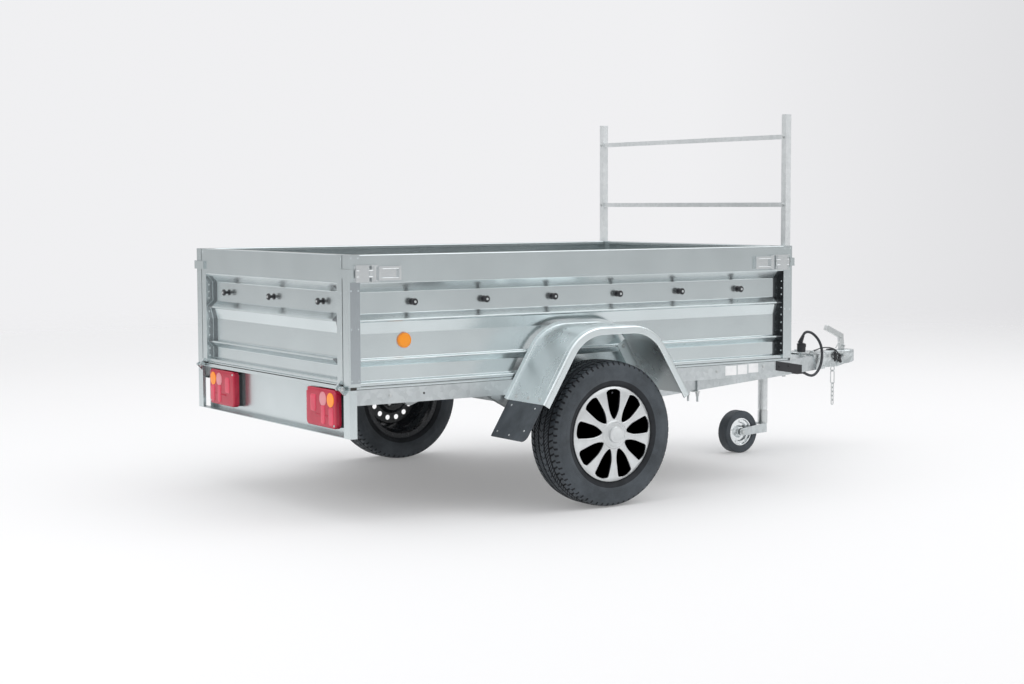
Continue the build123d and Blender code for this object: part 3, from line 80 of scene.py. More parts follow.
# ---- cords ----
# the plug's cable: from the gland under the drawbar up to the boot of the parked plug
CABLE_BASE = (2.945, -0.058, 0.469)
CABLE_ROUTE = (
    (0.012, -0.001, 0.102), (0.018, -0.003, 0.116), (0.041, -0.011, 0.120), (0.068, -0.021, 0.105),
    (0.087, -0.036, 0.075), (0.094, -0.049, 0.038), (0.090, -0.057, -0.003), (0.076, -0.064, -0.044),
    (0.050, -0.070, -0.077), (0.017, -0.073, -0.098), (-0.020, -0.073, -0.094), (-0.048, -0.071, -0.079))
CABLE_DIAMETER = 0.0135
# the breakaway cable: from its gland on the housing to the hook beside the neck
BREAKAWAY_BASE = (3.306, 0.0, 0.480)
BREAKAWAY_ROUTE = (
    (-0.262, -0.052, 0.009), (-0.240, -0.053, 0.016), (-0.212, -0.053, 0.020), (-0.180, -0.052, 0.021),
    (-0.148, -0.050, 0.017), (-0.118, -0.048, 0.008), (-0.096, -0.046, -0.008), (-0.086, -0.045, -0.030))
BREAKAWAY_DIAMETER = 0.006


def route_points(base, route):
    """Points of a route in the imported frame."""
    return [at(*base) + Vector(step) for step in route]


def nurbs_cord(name, points, diameter):
    """Smooth cord with the route's points as control points."""
    curve = bpy.data.curves.new(name, "CURVE")
    curve.dimensions = "3D"
    curve.bevel_depth = 1.0
    curve.bevel_resolution = 5
    curve.resolution_u = 14
    curve.use_fill_caps = True
    spline = curve.splines.new("NURBS")
    spline.points.add(len(points) - 1)
    for knot, place in zip(spline.points, points):
        knot.co = (*place, 1)
        knot.radius = diameter / 2
    spline.order_u = 3
    spline.use_endpoint_u = True
    obj = bpy.data.objects.new(name, curve)
    bpy.context.scene.collection.objects.link(obj)
    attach(obj, "chassis")
    return obj


def make_cords(cable_rubber, black):
    """The plug's cable with its plug, and the breakaway cable."""
    cable = nurbs_cord("trailer_cable", route_points(CABLE_BASE, CABLE_ROUTE), CABLE_DIAMETER)
    cable.data.materials.append(cable_rubber)
    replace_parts(cable, "cable")
    breakaway = nurbs_cord("breakaway_line", route_points(BREAKAWAY_BASE, BREAKAWAY_ROUTE),
                           BREAKAWAY_DIAMETER)
    breakaway.data.materials.append(cable_rubber)
    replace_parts(breakaway, "breakaway_cable")
    plug = make_plug(black)


def make_plug(black):
    """Parked plug: ribbed body, collar, lugs and a tapered boot with rings."""
    bm = bmesh.new()
    foot = at(2.945, -0.058, 0.487)
    up = Vector((0, 0, 1))
    rings = [(0.0185, 0.0), (0.0215, 0.003), (0.0215, 0.036), (0.0205, 0.0372), (0.0235, 0.038),
             (0.0235, 0.0415), (0.0215, 0.042), (0.014, 0.046)]
    stack(bm, foot, up, rings, 40)
    for turn in circle(20):
        out = Vector((cos(turn), sin(turn), 0))
        place = foot + out * 0.0205 + up * 0.019
        brick(bm, place, (out, Vector((-sin(turn), cos(turn), 0)), up), (0.0024, 0.0032, 0.030), 0.0008)
    brick(bm, foot + Vector((0.023, 0, 0.030)), AXES, (0.006, 0.016, 0.014), 0.001)
    points = route_points(CABLE_BASE, CABLE_ROUTE)
    aim = (points[1] - points[0]).normalized()
    root = points[0] - aim * 0.044
    boot = []
    for i in range(9):
        low = 0.0048 * i
        thick = 0.013 - 0.0046 * i / 8
        boot += [(thick, low), (thick, low + 0.0032),
                 (thick - 0.0016, low + 0.0036), (thick - 0.0016, low + 0.0046)]
    stack(bm, root, aim, [pair for pair in boot if pair[1] <= 0.0442], 28)
    return finish_mesh("plug_body", bm, black, replaces=("plug",))


# ---- light ----

def make_light(name, place, target, size, power):
    """Soft rectangular light aimed at a point."""
    data = bpy.data.lights.new(name, "AREA")
    data.shape = "RECTANGLE"
    data.size, data.size_y = size
    data.energy = power
    lamp = bpy.data.objects.new(name, data)
    bpy.context.scene.collection.objects.link(lamp)
    aim = Vector(target) - Vector(place)
    lamp.matrix_world = Matrix.Translation(place) @ aim.to_track_quat("-Z", "Y").to_matrix().to_4x4()


def make_studio():
    """Pale floor, pale surroundings and soft lights."""
    bpy.context.scene.view_settings.view_transform = "Standard"
    world = bpy.data.worlds.new("studio")
    bpy.context.scene.world = world
    world.use_nodes = True
    tree = world.node_tree
    tree.nodes.clear()
    coord = add_node(tree, "TexCoord").outputs["Generated"]
    path = add_node(tree, "LightPath").outputs
    aside = add_node(tree, "VectorMath", {0: coord, 1: (sin(CAMERA_YAW), -cos(CAMERA_YAW), 0)},
                     operation="DOT_PRODUCT")
    backdrop = ramp_of(tree, aside.outputs["Value"],
                       [(0.10, (0.87, 0.87, 0.885)), (0.30, (0.735, 0.735, 0.75))])
    seen = add_node(tree, "Background", {"Color": backdrop})
    split = add_node(tree, "SeparateXYZ", {0: coord})
    lift = add_node(tree, "MapRange", {"Value": split.outputs["Z"], "From Min": -1})
    shades = ramp_of(tree, lift.outputs[0], [
        (0.42, (0.90, 0.90, 0.91)), (0.50, (0.50, 0.505, 0.51)), (0.58, (0.56, 0.565, 0.57)),
        (0.75, (1.0, 1.0, 1.02)), (1.0, (1.25, 1.27, 1.3))])
    gloss = add_node(tree, "Background", {"Color": shades, "Strength": 0.93})
    soft = add_node(tree, "Background", {"Color": (1.0, 1.0, 1.01, 1), "Strength": 0.84})
    lit = add_node(tree, "MixShader", {0: path["Is Glossy Ray"], 1: soft.outputs[0], 2: gloss.outputs[0]})
    mix = add_node(tree, "MixShader", {0: path["Is Camera Ray"], 1: lit.outputs[0], 2: seen.outputs[0]})
    add_node(tree, "OutputWorld", {0: mix.outputs[0]})
    make_light("key", (3.2, -3.0, 6.5), (0, 0, 0.5), (6.0, 6.0), 110)
    make_light("rear_fill", (-7.0, -0.5, 3.5), (0, 0, 0.6), (4.5, 3.5), 80)
    make_light("top", (-0.5, 1.0, 7.0), (0, 0, 0), (7.0, 6.0), 80)
    bpy.ops.mesh.primitive_circle_add(vertices=96, radius=16, fill_type="NGON", location=(0, 0, 0))
    floor = bpy.context.object
    floor.name = "stage_floor"
    floor.data.materials.append(floor_material())


def floor_material():
    """Pale floor that glows faintly, to lift the shadow, and fades out far from the trailer."""
    mat, tree, shader = new_material("stage_floor")
    feed(tree, shader, {"Base Color": (0.70, 0.70, 0.705, 1), "Roughness": 0.75,
                        "Emission Color": (1, 1, 1, 1), "Emission Strength": 0.20})
    mat.cycles.emission_sampling = "NONE"
    length = add_node(tree, "VectorMath", {0: add_node(tree, "TexCoord").outputs["Object"]},
                      operation="LENGTH")
    fade = add_node(tree, "MapRange", {"Value": length.outputs["Value"], "From Min": 4.5, "From Max": 14.0},
                    interpolation_type="SMOOTHSTEP")
    clear = add_node(tree, "BsdfTransparent")
    mix = add_node(tree, "MixShader", {0: fade.outputs[0], 1: shader.outputs[0], 2: clear.outputs[0]})
    feed(tree, tree.nodes["Material Output"], {"Surface": mix.outputs[0]})
    return mat


# ---- materials ----

def feed(tree, node, inputs):
    """Sets a node's inputs, or links them where the value is another node's output."""
    for key, value in inputs.items():
        if isinstance(value, bpy.types.NodeSocket):
            tree.links.new(value, node.inputs[key])
        else:
            node.inputs[key].default_value = value


def add_node(tree, kind, inputs=None, **settings):
    """Shader node with its settings and inputs."""
    node = tree.nodes.new("ShaderNode" + kind)
    for key, value in settings.items():
        setattr(node, key, value)
    feed(tree, node, inputs or {})
    return node


def new_material(name):
    """Empty node material with its Principled shader."""
    mat = bpy.data.materials.new(name)
    mat.use_nodes = True
    tree = mat.node_tree
    return mat, tree, tree.nodes["Principled BSDF"]


def object_coords(tree, scale):
    """Object coordinates scaled for a texture."""
    scales = scale if isinstance(scale, tuple) else (scale,) * 3
    coord = add_node(tree, "TexCoord").outputs["Object"]
    return add_node(tree, "Mapping", {"Scale": scales, "Vector": coord}).outputs[0]


def ramp_of(tree, source, stops):
    """Colour ramp fed by a value; stops are (position, colour)."""
    ramp = add_node(tree, "ValToRGB", {0: source})
    first, last = ramp.color_ramp.elements
    first.position, first.color = stops[0][0], (*stops[0][1], 1)
    last.position, last.color = stops[-1][0], (*stops[-1][1], 1)
    for place, colour in stops[1:-1]:
        ramp.color_ramp.elements.new(place).color = (*colour, 1)
    return ramp.outputs[0]


def noise_of(tree, scale, detail=4.0, rough=0.55):
    """Noise value over the object."""
    noise = add_node(tree, "TexNoise", {"Scale": 1.0, "Detail": detail, "Roughness": rough,
                                        "Vector": object_coords(tree, scale)})
    return noise.outputs["Fac"]


def cells_of(tree, scale, **settings):
    """Voronoi cells over the object."""
    return add_node(tree, "TexVoronoi", {"Scale": 1.0, "Vector": object_coords(tree, scale)}, **settings)


def add_bump(tree, shader, height, strength, distance):
    """Bump on the shader from a height."""
    bump = add_node(tree, "Bump", {"Strength": strength, "Distance": distance, "Height": height})
    feed(tree, shader, {"Normal": bump.outputs[0]})


def range_of(tree, source, low, high):
    """Value from 0..1 stretched to a range."""
    return add_node(tree, "MapRange", {"To Min": low, "To Max": high, "Value": source}).outputs[0]


def blend(tree, factor, one, two, kind="FLOAT"):
    """Mix of two values or colours by a number."""
    return add_node(tree, "Mix", {"Factor": factor, "A": one, "B": two}, data_type=kind).outputs["Result"]


def box_mask(tree, centre, half):
    """1 inside a box of places, mirrored across the trailer's middle, and 0 outside."""
    spot = add_node(tree, "SeparateXYZ", {0: add_node(tree, "NewGeometry").outputs["Position"]}).outputs
    aside = add_node(tree, "Math", {0: spot["Y"]}, operation="ABSOLUTE").outputs[0]
    mask = None
    for source, middle, reach in zip((spot["X"], aside, spot["Z"]), centre, half):
        test = add_node(tree, "Math", {0: source, 1: middle, 2: reach}, operation="COMPARE")
        if mask is not None:
            test = add_node(tree, "Math", {0: mask, 1: test.outputs[0]}, operation="MULTIPLY")
        mask = test.outputs[0]
    return mask


def paint_shade_zones(mat, zones):
    """Paints shade into a steel's colour in boxes: (middle, half size, how much of the colour is left).

    The boxes stand still in the world, so a gate leaves its zones when it swings.
    """
    tree = mat.node_tree
    socket = tree.nodes["Principled BSDF"].inputs["Base Color"]
    colour = socket.links[0].from_socket
    for centre, half, left in zones:
        mix = add_node(tree, "Mix", {0: box_mask(tree, centre, half)},
                       data_type="RGBA", blend_type="MULTIPLY")
        feed(tree, mix, {6: colour, 7: (left, left, left * 1.03, 1)})
        colour = mix.outputs[2]
    tree.links.new(colour, socket)
    return mat


def galvanised(name, light, dark, spangle, roughness, wave=0.3, fleck=0.4):
    """Hot-dip galvanised steel: crystal spangle, cloudy patches and a fine grain."""
    mat, tree, shader = new_material(name)
    shade = add_node(tree, "SeparateColor", {0: cells_of(tree, spangle).outputs["Color"]})
    spangles = ramp_of(tree, shade.outputs[0], [(0.0, dark), (1.0, light)])
    clouds = ramp_of(tree, noise_of(tree, 3.2, 5.0, 0.6), [(0.3, dark), (0.7, light)])
    rough_noise = blend(tree, fleck, noise_of(tree, 7.0, 3.0), shade.outputs[1])
    feed(tree, shader, {
        "Base Color": blend(tree, 1.0 - fleck, spangles, clouds, "RGBA"), "Metallic": 0.9,
        "Roughness": range_of(tree, rough_noise, roughness - 0.05, roughness + 0.07)})
    swell = add_node(tree, "Math", {0: noise_of(tree, 150.0, 3.0), 1: 0.006, 2: noise_of(tree, 4.0, 0.0)},
                     operation="MULTIPLY_ADD")
    add_bump(tree, shader, swell.outputs[0], wave, 0.004)
    return mat


def rubber(name, colour, grain, roughness):
    """Black rubber with faint dust and a fine grain."""
    mat, tree, shader = new_material(name)
    dusty = tuple(c * 1.9 + 0.012 for c in colour)
    feed(tree, shader, {
        "Base Color": ramp_of(tree, noise_of(tree, 9.0, 6.0, 0.65), [(0.35, colour), (0.75, dusty)]),
        "Roughness": range_of(tree, noise_of(tree, 40.0), roughness - 0.08, roughness + 0.1)})
    add_bump(tree, shader, noise_of(tree, grain, 2.0), 0.15, 0.0005)
    return mat


def plastic(name, colour, roughness, grain=300.0, texture=0.08):
    """Moulded plastic with a slight texture and tone change."""
    mat, tree, shader = new_material(name)
    pale = tuple(min(1.0, c * 1.25 + 0.01) for c in colour)
    feed(tree, shader, {
        "Base Color": ramp_of(tree, noise_of(tree, 14.0, 4.0), [(0.3, colour), (0.8, pale)]),
        "Roughness": range_of(tree, noise_of(tree, 55.0), roughness - 0.06, roughness + 0.07)})
    add_bump(tree, shader, noise_of(tree, grain, 2.0), texture, 0.0003)
    return mat


def prism_lens(name, colour):
    """Moulded lens with a pattern of small prisms."""
    mat, tree, shader = new_material(name)
    depth = cells_of(tree, 260.0).outputs["Distance"]
    pale = tuple(min(1.0, c * 1.3 + 0.02) for c in colour)
    feed(tree, shader, {"Base Color": ramp_of(tree, depth, [(0.0, pale), (0.7, colour)]), "Roughness": 0.16})
    add_bump(tree, shader, depth, 0.4, 0.001)
    return mat


def plywood(name):
    """Brown phenolic plywood with a fine anti-slip mesh."""
    mat, tree, shader = new_material(name)
    grain = noise_of(tree, (6.0, 60.0, 60.0), 5.0, 0.6)
    tone = ramp_of(tree, grain, [(0.3, (0.050, 0.043, 0.038)), (0.7, (0.085, 0.073, 0.062))])
    feed(tree, shader, {"Base Color": tone, "Roughness": 0.5})
    mesh = cells_of(tree, 180.0, feature="DISTANCE_TO_EDGE")
    add_bump(tree, shader, mesh.outputs["Distance"], 0.25, 0.001)
    return mat


# ---- mesh helpers ----
AXES = (Vector((1, 0, 0)), Vector((0, 1, 0)), Vector((0, 0, 1)))
SIDES = ((-1, "right"), (1, "left"))


def circle(count):
    """Angles around a circle."""
    return [2 * pi * i / count for i in range(count)]


def stack(bm, place, normal, rings, count=20, turn=0.0):
    """Turned or prismatic form: rings of (radius, height) along a direction."""
    axis = Vector(normal).normalized()
    side = axis.orthogonal().normalized()
    across = axis.cross(side)
    spokes = [side * cos(turn + t) + across * sin(turn + t) for t in circle(count)]
    loops = [[bm.verts.new(Vector(place) + axis * height + spoke * radius) for spoke in spokes]
             for radius, height in rings]
    for low, high in zip(loops, loops[1:]):
        for i in range(count):
            j = (i + 1) % count
            bm.faces.new((low[i], low[j], high[j], high[i]))
    bm.faces.new(loops[-1])
    bm.faces.new(loops[0][::-1])


def brick(bm, centre, axes, size, edge, segments=2):
    """Box with rounded edges about a centre, along three axes."""
    turn = Matrix((axes[0], axes[1], axes[2])).transposed().to_4x4()
    place = Matrix.Translation(centre) @ turn @ Matrix.Diagonal((*size, 1))
    made = bmesh.ops.create_cube(bm, size=1.0, matrix=place)
    edges = {e for v in made["verts"] for e in v.link_edges}
    bmesh.ops.bevel(bm, geom=list(edges), offset=edge, segments=segments, profile=0.6, affect="EDGES")


def slab(bm, low, high, edge=0.001):
    """Rounded box between two corners."""
    low, high = Vector(low), Vector(high)
    brick(bm, (low + high) / 2, AXES, high - low, edge)


def pipe(bm, points, radius, count=12, closed=False):
    """Round tube along points."""
    total = len(points)
    rings = []
    side = None
    for i, place in enumerate(points):
        ahead = points[(i + 1) % total] if closed or i < total - 1 else place
        back = points[i - 1] if closed or i > 0 else place
        aim = (ahead - back).normalized()
        side = aim.orthogonal() if side is None else side - aim * side.dot(aim)
        side.normalize()
        across = aim.cross(side)
        rings.append([bm.verts.new(place + (side * cos(t) + across * sin(t)) * radius)
                      for t in circle(count)])
    spans = list(zip(rings, rings[1:])) + ([(rings[-1], rings[0])] if closed else [])
    for one, two in spans:
        for k in range(count):
            m = (k + 1) % count
            bm.faces.new((one[k], one[m], two[m], two[k]))
    if not closed:
        bm.faces.new(rings[0][::-1])
        bm.faces.new(rings[-1])


def finish_mesh(name, bm, material, body="chassis", replaces=(), sharp=32, materials=()):
    """Object from a bmesh, shaded smooth up to an angle, riding on a body."""
    bmesh.ops.recalc_face_normals(bm, faces=bm.faces)
    mesh = bpy.data.meshes.new(name)
    bm.to_mesh(mesh)
    bm.free()
    for extra in (material, *materials):
        mesh.materials.append(extra)
    for face in mesh.polygons:
        face.use_smooth = True
    mesh.set_sharp_from_angle(angle=radians(sharp))
    obj = bpy.data.objects.new(name, mesh)
    bpy.context.scene.collection.objects.link(obj)
    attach(obj, body)
    if replaces:
        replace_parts(obj, *replaces)
    return obj


def hex_head(bm, place, normal, across=0.013, height=0.0055, turn=0.3, washer=True):
    """Hexagon bolt head on its washer."""
    radius = across / 2 / cos(radians(30))
    axis = Vector(normal).normalized()
    start = Vector(place)
    if washer:
        stack(bm, start, axis, [(radius * 1.35, 0), (radius * 1.35, 0.0011), (radius * 1.28, 0.0015)], 22)
        start = start + axis * 0.0015
    stack(bm, start, axis, [(radius, 0), (radius, height * 0.82), (radius * 0.86, height)], 6, turn)


def dome(bm, place, normal, radius=0.005, height=0.0025):
    """Domed rivet head."""
    rings = [(radius * cos(t), height * sin(t)) for t in (0, 0.35, 0.7, 1.05, 1.35)]
    stack(bm, place, normal, rings, 16)


def pan_screw(bm, place, normal, radius=0.0052):
    """Pan head with a cross recess."""
    stack(bm, place, normal, [(radius, 0), (radius, 0.0012), (radius * 0.8, 0.0026), (radius * 0.45, 0.0030),
                              (radius * 0.30, 0.0018)], 18)


# ---- wheels ----
WHEEL_X, WHEEL_Y, WHEEL_Z = 1.095, 0.842, 0.300
PITCHES = 66
STEPS = 10
GROOVES = (-0.0485, -0.0175, 0.0175, 0.0485)
GROOVE_HALF = 0.0042
GROOVE_DEPTH = 0.0078


def crown(y):
    """Tread surface radius at an offset from the middle."""
    y = abs(y)
    if y <= 0.038:
        return 0.2998 - 0.0003 * (y / 0.038) ** 2
    if y <= 0.076:
        return 0.2995 - 0.0047 * ((y - 0.038) / 0.038) ** 1.6
    return 0.2948 - 0.0108 * ((y - 0.076) / 0.0115) ** 1.5


def tread_columns():
    """Columns across the tyre: (offset, radius, depth of the lateral cuts, slant of the cuts)."""
    side = [(0.0690, 0.1815), (0.0725, 0.1880), (0.0752, 0.1955), (0.0742, 0.2000), (0.0772, 0.2022),
            (0.0800, 0.2058), (0.0818, 0.2110), (0.0822, 0.2116), (0.0826, 0.2122), (0.0862, 0.2200),
            (0.0892, 0.2290), (0.0908, 0.2370), (0.0913, 0.2374), (0.0913, 0.2388), (0.0909, 0.2392),
            (0.0922, 0.2450), (0.0924, 0.2520), (0.0919, 0.2600), (0.0908, 0.2680), (0.0911, 0.2684),
            (0.0908, 0.2700), (0.0902, 0.2704), (0.0893, 0.2760), (0.0884, 0.2800)]
    columns = [(y, r, 0.0, 0.0) for y, r in side]
    across = [0.0875 - 0.0026 * i for i in range(5)]
    lines = [(y, crown(y), 0.0045 if y < 0.0868 else 0.0022, 0.0) for y in across]
    edges = []
    for middle in reversed(GROOVES):
        edges += [(middle + GROOVE_HALF, 0), (middle + GROOVE_HALF - 0.0008, 1),
                  (middle - GROOVE_HALF + 0.0008, 1), (middle - GROOVE_HALF, 0)]
    inner = []
    spots = [0.0] + [y for y, _ in edges]
    for y in (0.0745, 0.0690, 0.0620, 0.0560, 0.0400, 0.0330, 0.0260, 0.0100):
        spots += [y, -y]
    deep = {round(y, 5) for y, low in edges if low}
    for y in sorted(spots, reverse=True):
        low = round(y, 5) in deep
        size = abs(y)
        cut = 0.0 if low else (0.0055 if size > 0.0515 else 0.0040 if 0.0212 < size < 0.0448 else 0.0030)
        slant = (size - 0.052) * 0.45 if size > 0.0515 else (size - 0.021) * 0.9
        inner.append((y, crown(y) - (GROOVE_DEPTH if low else 0.0), cut, slant))
    mirror_lines = [(-y, r, c, s) for y, r, c, s in reversed(lines)]
    mirror_side = [(-y, r, c, s) for y, r, c, s in reversed(columns)]
    return columns + lines + inner + mirror_lines + mirror_side


def make_tyre(name, node, side, mats, body):
    """Detailed tyre: ribs, grooves with painted shade, slanted sipes, shoulder slots and sidewall rings."""
    bm = bmesh.new()
    total = PITCHES * STEPS
    columns = tread_columns()
    rows = []
    for k in range(total):
        row = []
        for y, radius, cut, slant in columns:
            angle = 2 * pi * k / total + slant / 0.3
            step = k % STEPS
            wide = 0.0515 < abs(y)
            low = cut if step == 0 or (step == 5 and not wide) else cut * 0.9 if wide and step == 1 else 0.0
            if abs(y) < 0.0125 and step != 0:
                low = 0.0
            r = radius - low
            row.append(bm.verts.new((WHEEL_X - MIDDLE_X + r * sin(angle), side * WHEEL_Y + y,
                                     WHEEL_Z + r * cos(angle))))
        rows.append(row)
    for k in range(total):
        one, two = rows[k], rows[(k + 1) % total]
        for i in range(len(columns) - 1):
            face = bm.faces.new((one[i], two[i], two[i + 1], one[i + 1]))
            middle = sum((v.co for v in face.verts), Vector()) / 4
            reach = Vector((middle.x - WHEEL_X + MIDDLE_X, 0, middle.z - WHEEL_Z)).length
            offset = abs(middle.y - side * WHEEL_Y)
            # Faces sunk below the tread surface take the darker groove rubber, a painted shade.
            face.material_index = 1 if offset < 0.087 and crown(offset) - reach > 0.0012 else 0
        bm.faces.new((one[-1], two[-1], two[0], one[0]))
    finish_mesh(name, bm, mats["tyre"], body, replaces=(node,), sharp=28,
                materials=(mats["groove"],))


WINDOWS = 9
WINDOW_START, WINDOW_END = 0.0625, 0.1858
WINDOW_LENGTH = WINDOW_END - WINDOW_START
WINDOW_HALF_ANGLE = radians(14.2)
COVER_CROWN = 0.093


def window_half(radius):
    """Half angle of a cover window at a radius, round at both ends."""
    share = (radius - WINDOW_START) / WINDOW_LENGTH
    if not 0 < share < 1:
        return 0.0
    near = (1 - (1 - min(share / 0.42, 1.0)) ** 2) ** 0.5
    far = (1 - max(0.0, (share - 0.91) / 0.09) ** 2) ** 0.5
    return WINDOW_HALF_ANGLE * near * far * (1 - 0.20 * share ** 1.5)


def cover_height(radius):
    """Height of the cover's face above the wheel's middle, by radius."""
    if radius <= 0.095:
        return COVER_CROWN
    if radius <= 0.178:
        return COVER_CROWN - 0.006 * ((radius - 0.095) / 0.083) ** 2
    return COVER_CROWN - 0.006 - 0.008 * ((radius - 0.178) / 0.017) ** 1.4


def make_cover(mats):
    """Wheel cover of the right wheel: nine crowned spokes, flanged windows, boss and plain cap."""
    hub = at(WHEEL_X, -WHEEL_Y, WHEEL_Z)
    spans = [0.052, 0.058, 0.0625]
    spans += [WINDOW_START + WINDOW_LENGTH * (0.5 - 0.5 * cos(pi * i / 30)) for i in range(1, 31)]
    spans += [0.1880, 0.1910, 0.1945]
    cells = 12
    bm = bmesh.new()

    def spot(radius, angle, height):
        return bm.verts.new(hub + Vector((radius * cos(angle), -height, radius * sin(angle))))

    for k in range(WINDOWS):
        middle = radians(90) + 2 * pi * (k + 0.5) / WINDOWS
        rows = []
        walls = []
        for radius in spans:
            half = pi / WINDOWS - window_half(radius)
            row = []
            for i in range(cells + 1):
                u = 2 * i / cells - 1
                edge = 0.0026 * abs(u) ** 5 if window_half(radius) > 0 else 0.0
                row.append(spot(radius, middle + u * half, cover_height(radius) - edge))
            rows.append(row)
            walls.append([spot(radius, middle + u * (half - 0.0012 / radius), cover_height(radius) - 0.014)
                          for u in (-1, 1)])
        for a, b, wa, wb in zip(rows, rows[1:], walls, walls[1:]):
            for i in range(cells):
                bm.faces.new((a[i], a[i + 1], b[i + 1], b[i]))
            for column, w in ((0, 0), (cells, 1)):
                face = bm.faces.new((a[column], b[column], wb[w], wa[w]))
                face.material_index = 1
    bmesh.ops.remove_doubles(bm, verts=bm.verts, dist=0.00005)
    face_out = Vector((0, -1, 0))
    base = hub + face_out * 0.090
    rim = [(0.1945, 0.0), (0.1945, 0.0030), (0.1930, 0.0042), (0.1915, 0.0030), (0.1915, 0.0)]
    boss = [(0.0600, 0.002), (0.0575, 0.0062), (0.0535, 0.0082), (0.0505, 0.0086), (0.0480, 0.0062),
            (0.0365, 0.0056), (0.0345, 0.0070)]
    cap = [(0.0335, 0.0060), (0.0330, 0.0185), (0.0315, 0.0206), (0.0285, 0.0216), (0.0255, 0.0212),
           (0.0240, 0.0206), (0.0120, 0.0210), (0.0020, 0.0212)]
    stack(bm, hub + face_out * 0.076, face_out, rim, 96)
    stack(bm, base, face_out, boss, 72)
    stack(bm, base, face_out, cap, 60)
    backs = bmesh.new()
    plate = [(0.188, 0.0), (0.188, 0.006), (0.120, 0.002), (0.050, 0.004), (0.050, 0.0)]
    dish = [(0.027, 0.0), (0.026, 0.008), (0.022, 0.0135), (0.018, 0.0125), (0.010, 0.008), (0.002, 0.006)]
    stack(backs, hub + face_out * 0.056, face_out, plate, 72)
    for k in range(WINDOWS):
        angle = radians(90) + 2 * pi * k / WINDOWS
        place = hub + Vector((0.142 * cos(angle), -0.058, 0.142 * sin(angle)))
        stack(backs, place, face_out, dish, 28)
    finish_mesh("wheel_cover_backs", backs, mats["gloss"], "wheel_right", sharp=50)
    finish_mesh("wheel_cover", bm, mats["silver"], "wheel_right",
                replaces=("cover_right",), sharp=40, materials=(mats["black"],))


def make_wheel_parts(steel, rubber_mat):
    """Lug bolts on both faces and the valve of each wheel."""
    for side, name in SIDES:
        body = "wheel_" + name
        out = Vector((0, side, 0))
        hub = at(WHEEL_X, side * WHEEL_Y, WHEEL_Z)
        bm = bmesh.new()
        for seat, way, across, height, washer in ((0.016, out, 0.017, 0.011, True),
                                                  (-0.0005, -out, 0.015, 0.010, False)):
            for i in range(4):
                turn = 2 * pi * (i + 0.5) / 4
                place = hub + Vector((0.050 * cos(turn), side * seat, 0.050 * sin(turn)))
                hex_head(bm, place, way, across, height, turn, washer)
        finish_mesh("lug_bolts_" + name, bm, steel, body)
        bm = bmesh.new()
        start = hub + Vector((0.0, side * 0.045, 0.1765))
        way = [start] + [start + Vector((0, side * y, z))
                         for y, z in ((0.010, -0.004), (0.020, -0.006), (0.026, -0.0065))]
        pipe(bm, way, 0.0042, 12)
        stack(bm, way[-1], out, [(0.0045, 0), (0.0045, 0.006), (0.0036, 0.0072)], 14)
        finish_mesh("valve_" + name, bm, rubber_mat, body)


# ---- rear lamps and reflectors ----
LAMP_OUT = 0.586
LAMP_SIZE = (0.250, 0.154)
LAMP_LOW = 0.363


def rounded_outline(width, height, corner, steps=6):
    """Rounded rectangle about the origin, as (across, up)."""
    points = []
    reach, rise = width / 2 - corner, height / 2 - corner
    for cx, cy, start in ((reach, rise, 0), (-reach, rise, 90), (-reach, -rise, 180), (reach, -rise, 270)):
        for i in range(steps + 1):
            turn = radians(start + 90 * i / steps)
            points.append((cx + corner * cos(turn), cy + corner * sin(turn)))
    return points


def pillow(bm, centre, width, height, corner, layers):
    """Rounded block towards -X built of layers (x, inset)."""
    _, across, up = AXES
    loops = []
    for x, inset in layers:
        line = rounded_outline(width - 2 * inset, height - 2 * inset, max(corner - inset, 0.0008))
        loops.append([bm.verts.new(centre + Vector((x, 0, 0)) + across * u + up * v) for u, v in line])
    for one, two in zip(loops, loops[1:]):
        for i in range(len(one)):
            j = (i + 1) % len(one)
            bm.faces.new((one[i], one[j], two[j], two[i]))
    bm.faces.new(loops[0][::-1])
    bm.faces.new(loops[-1])


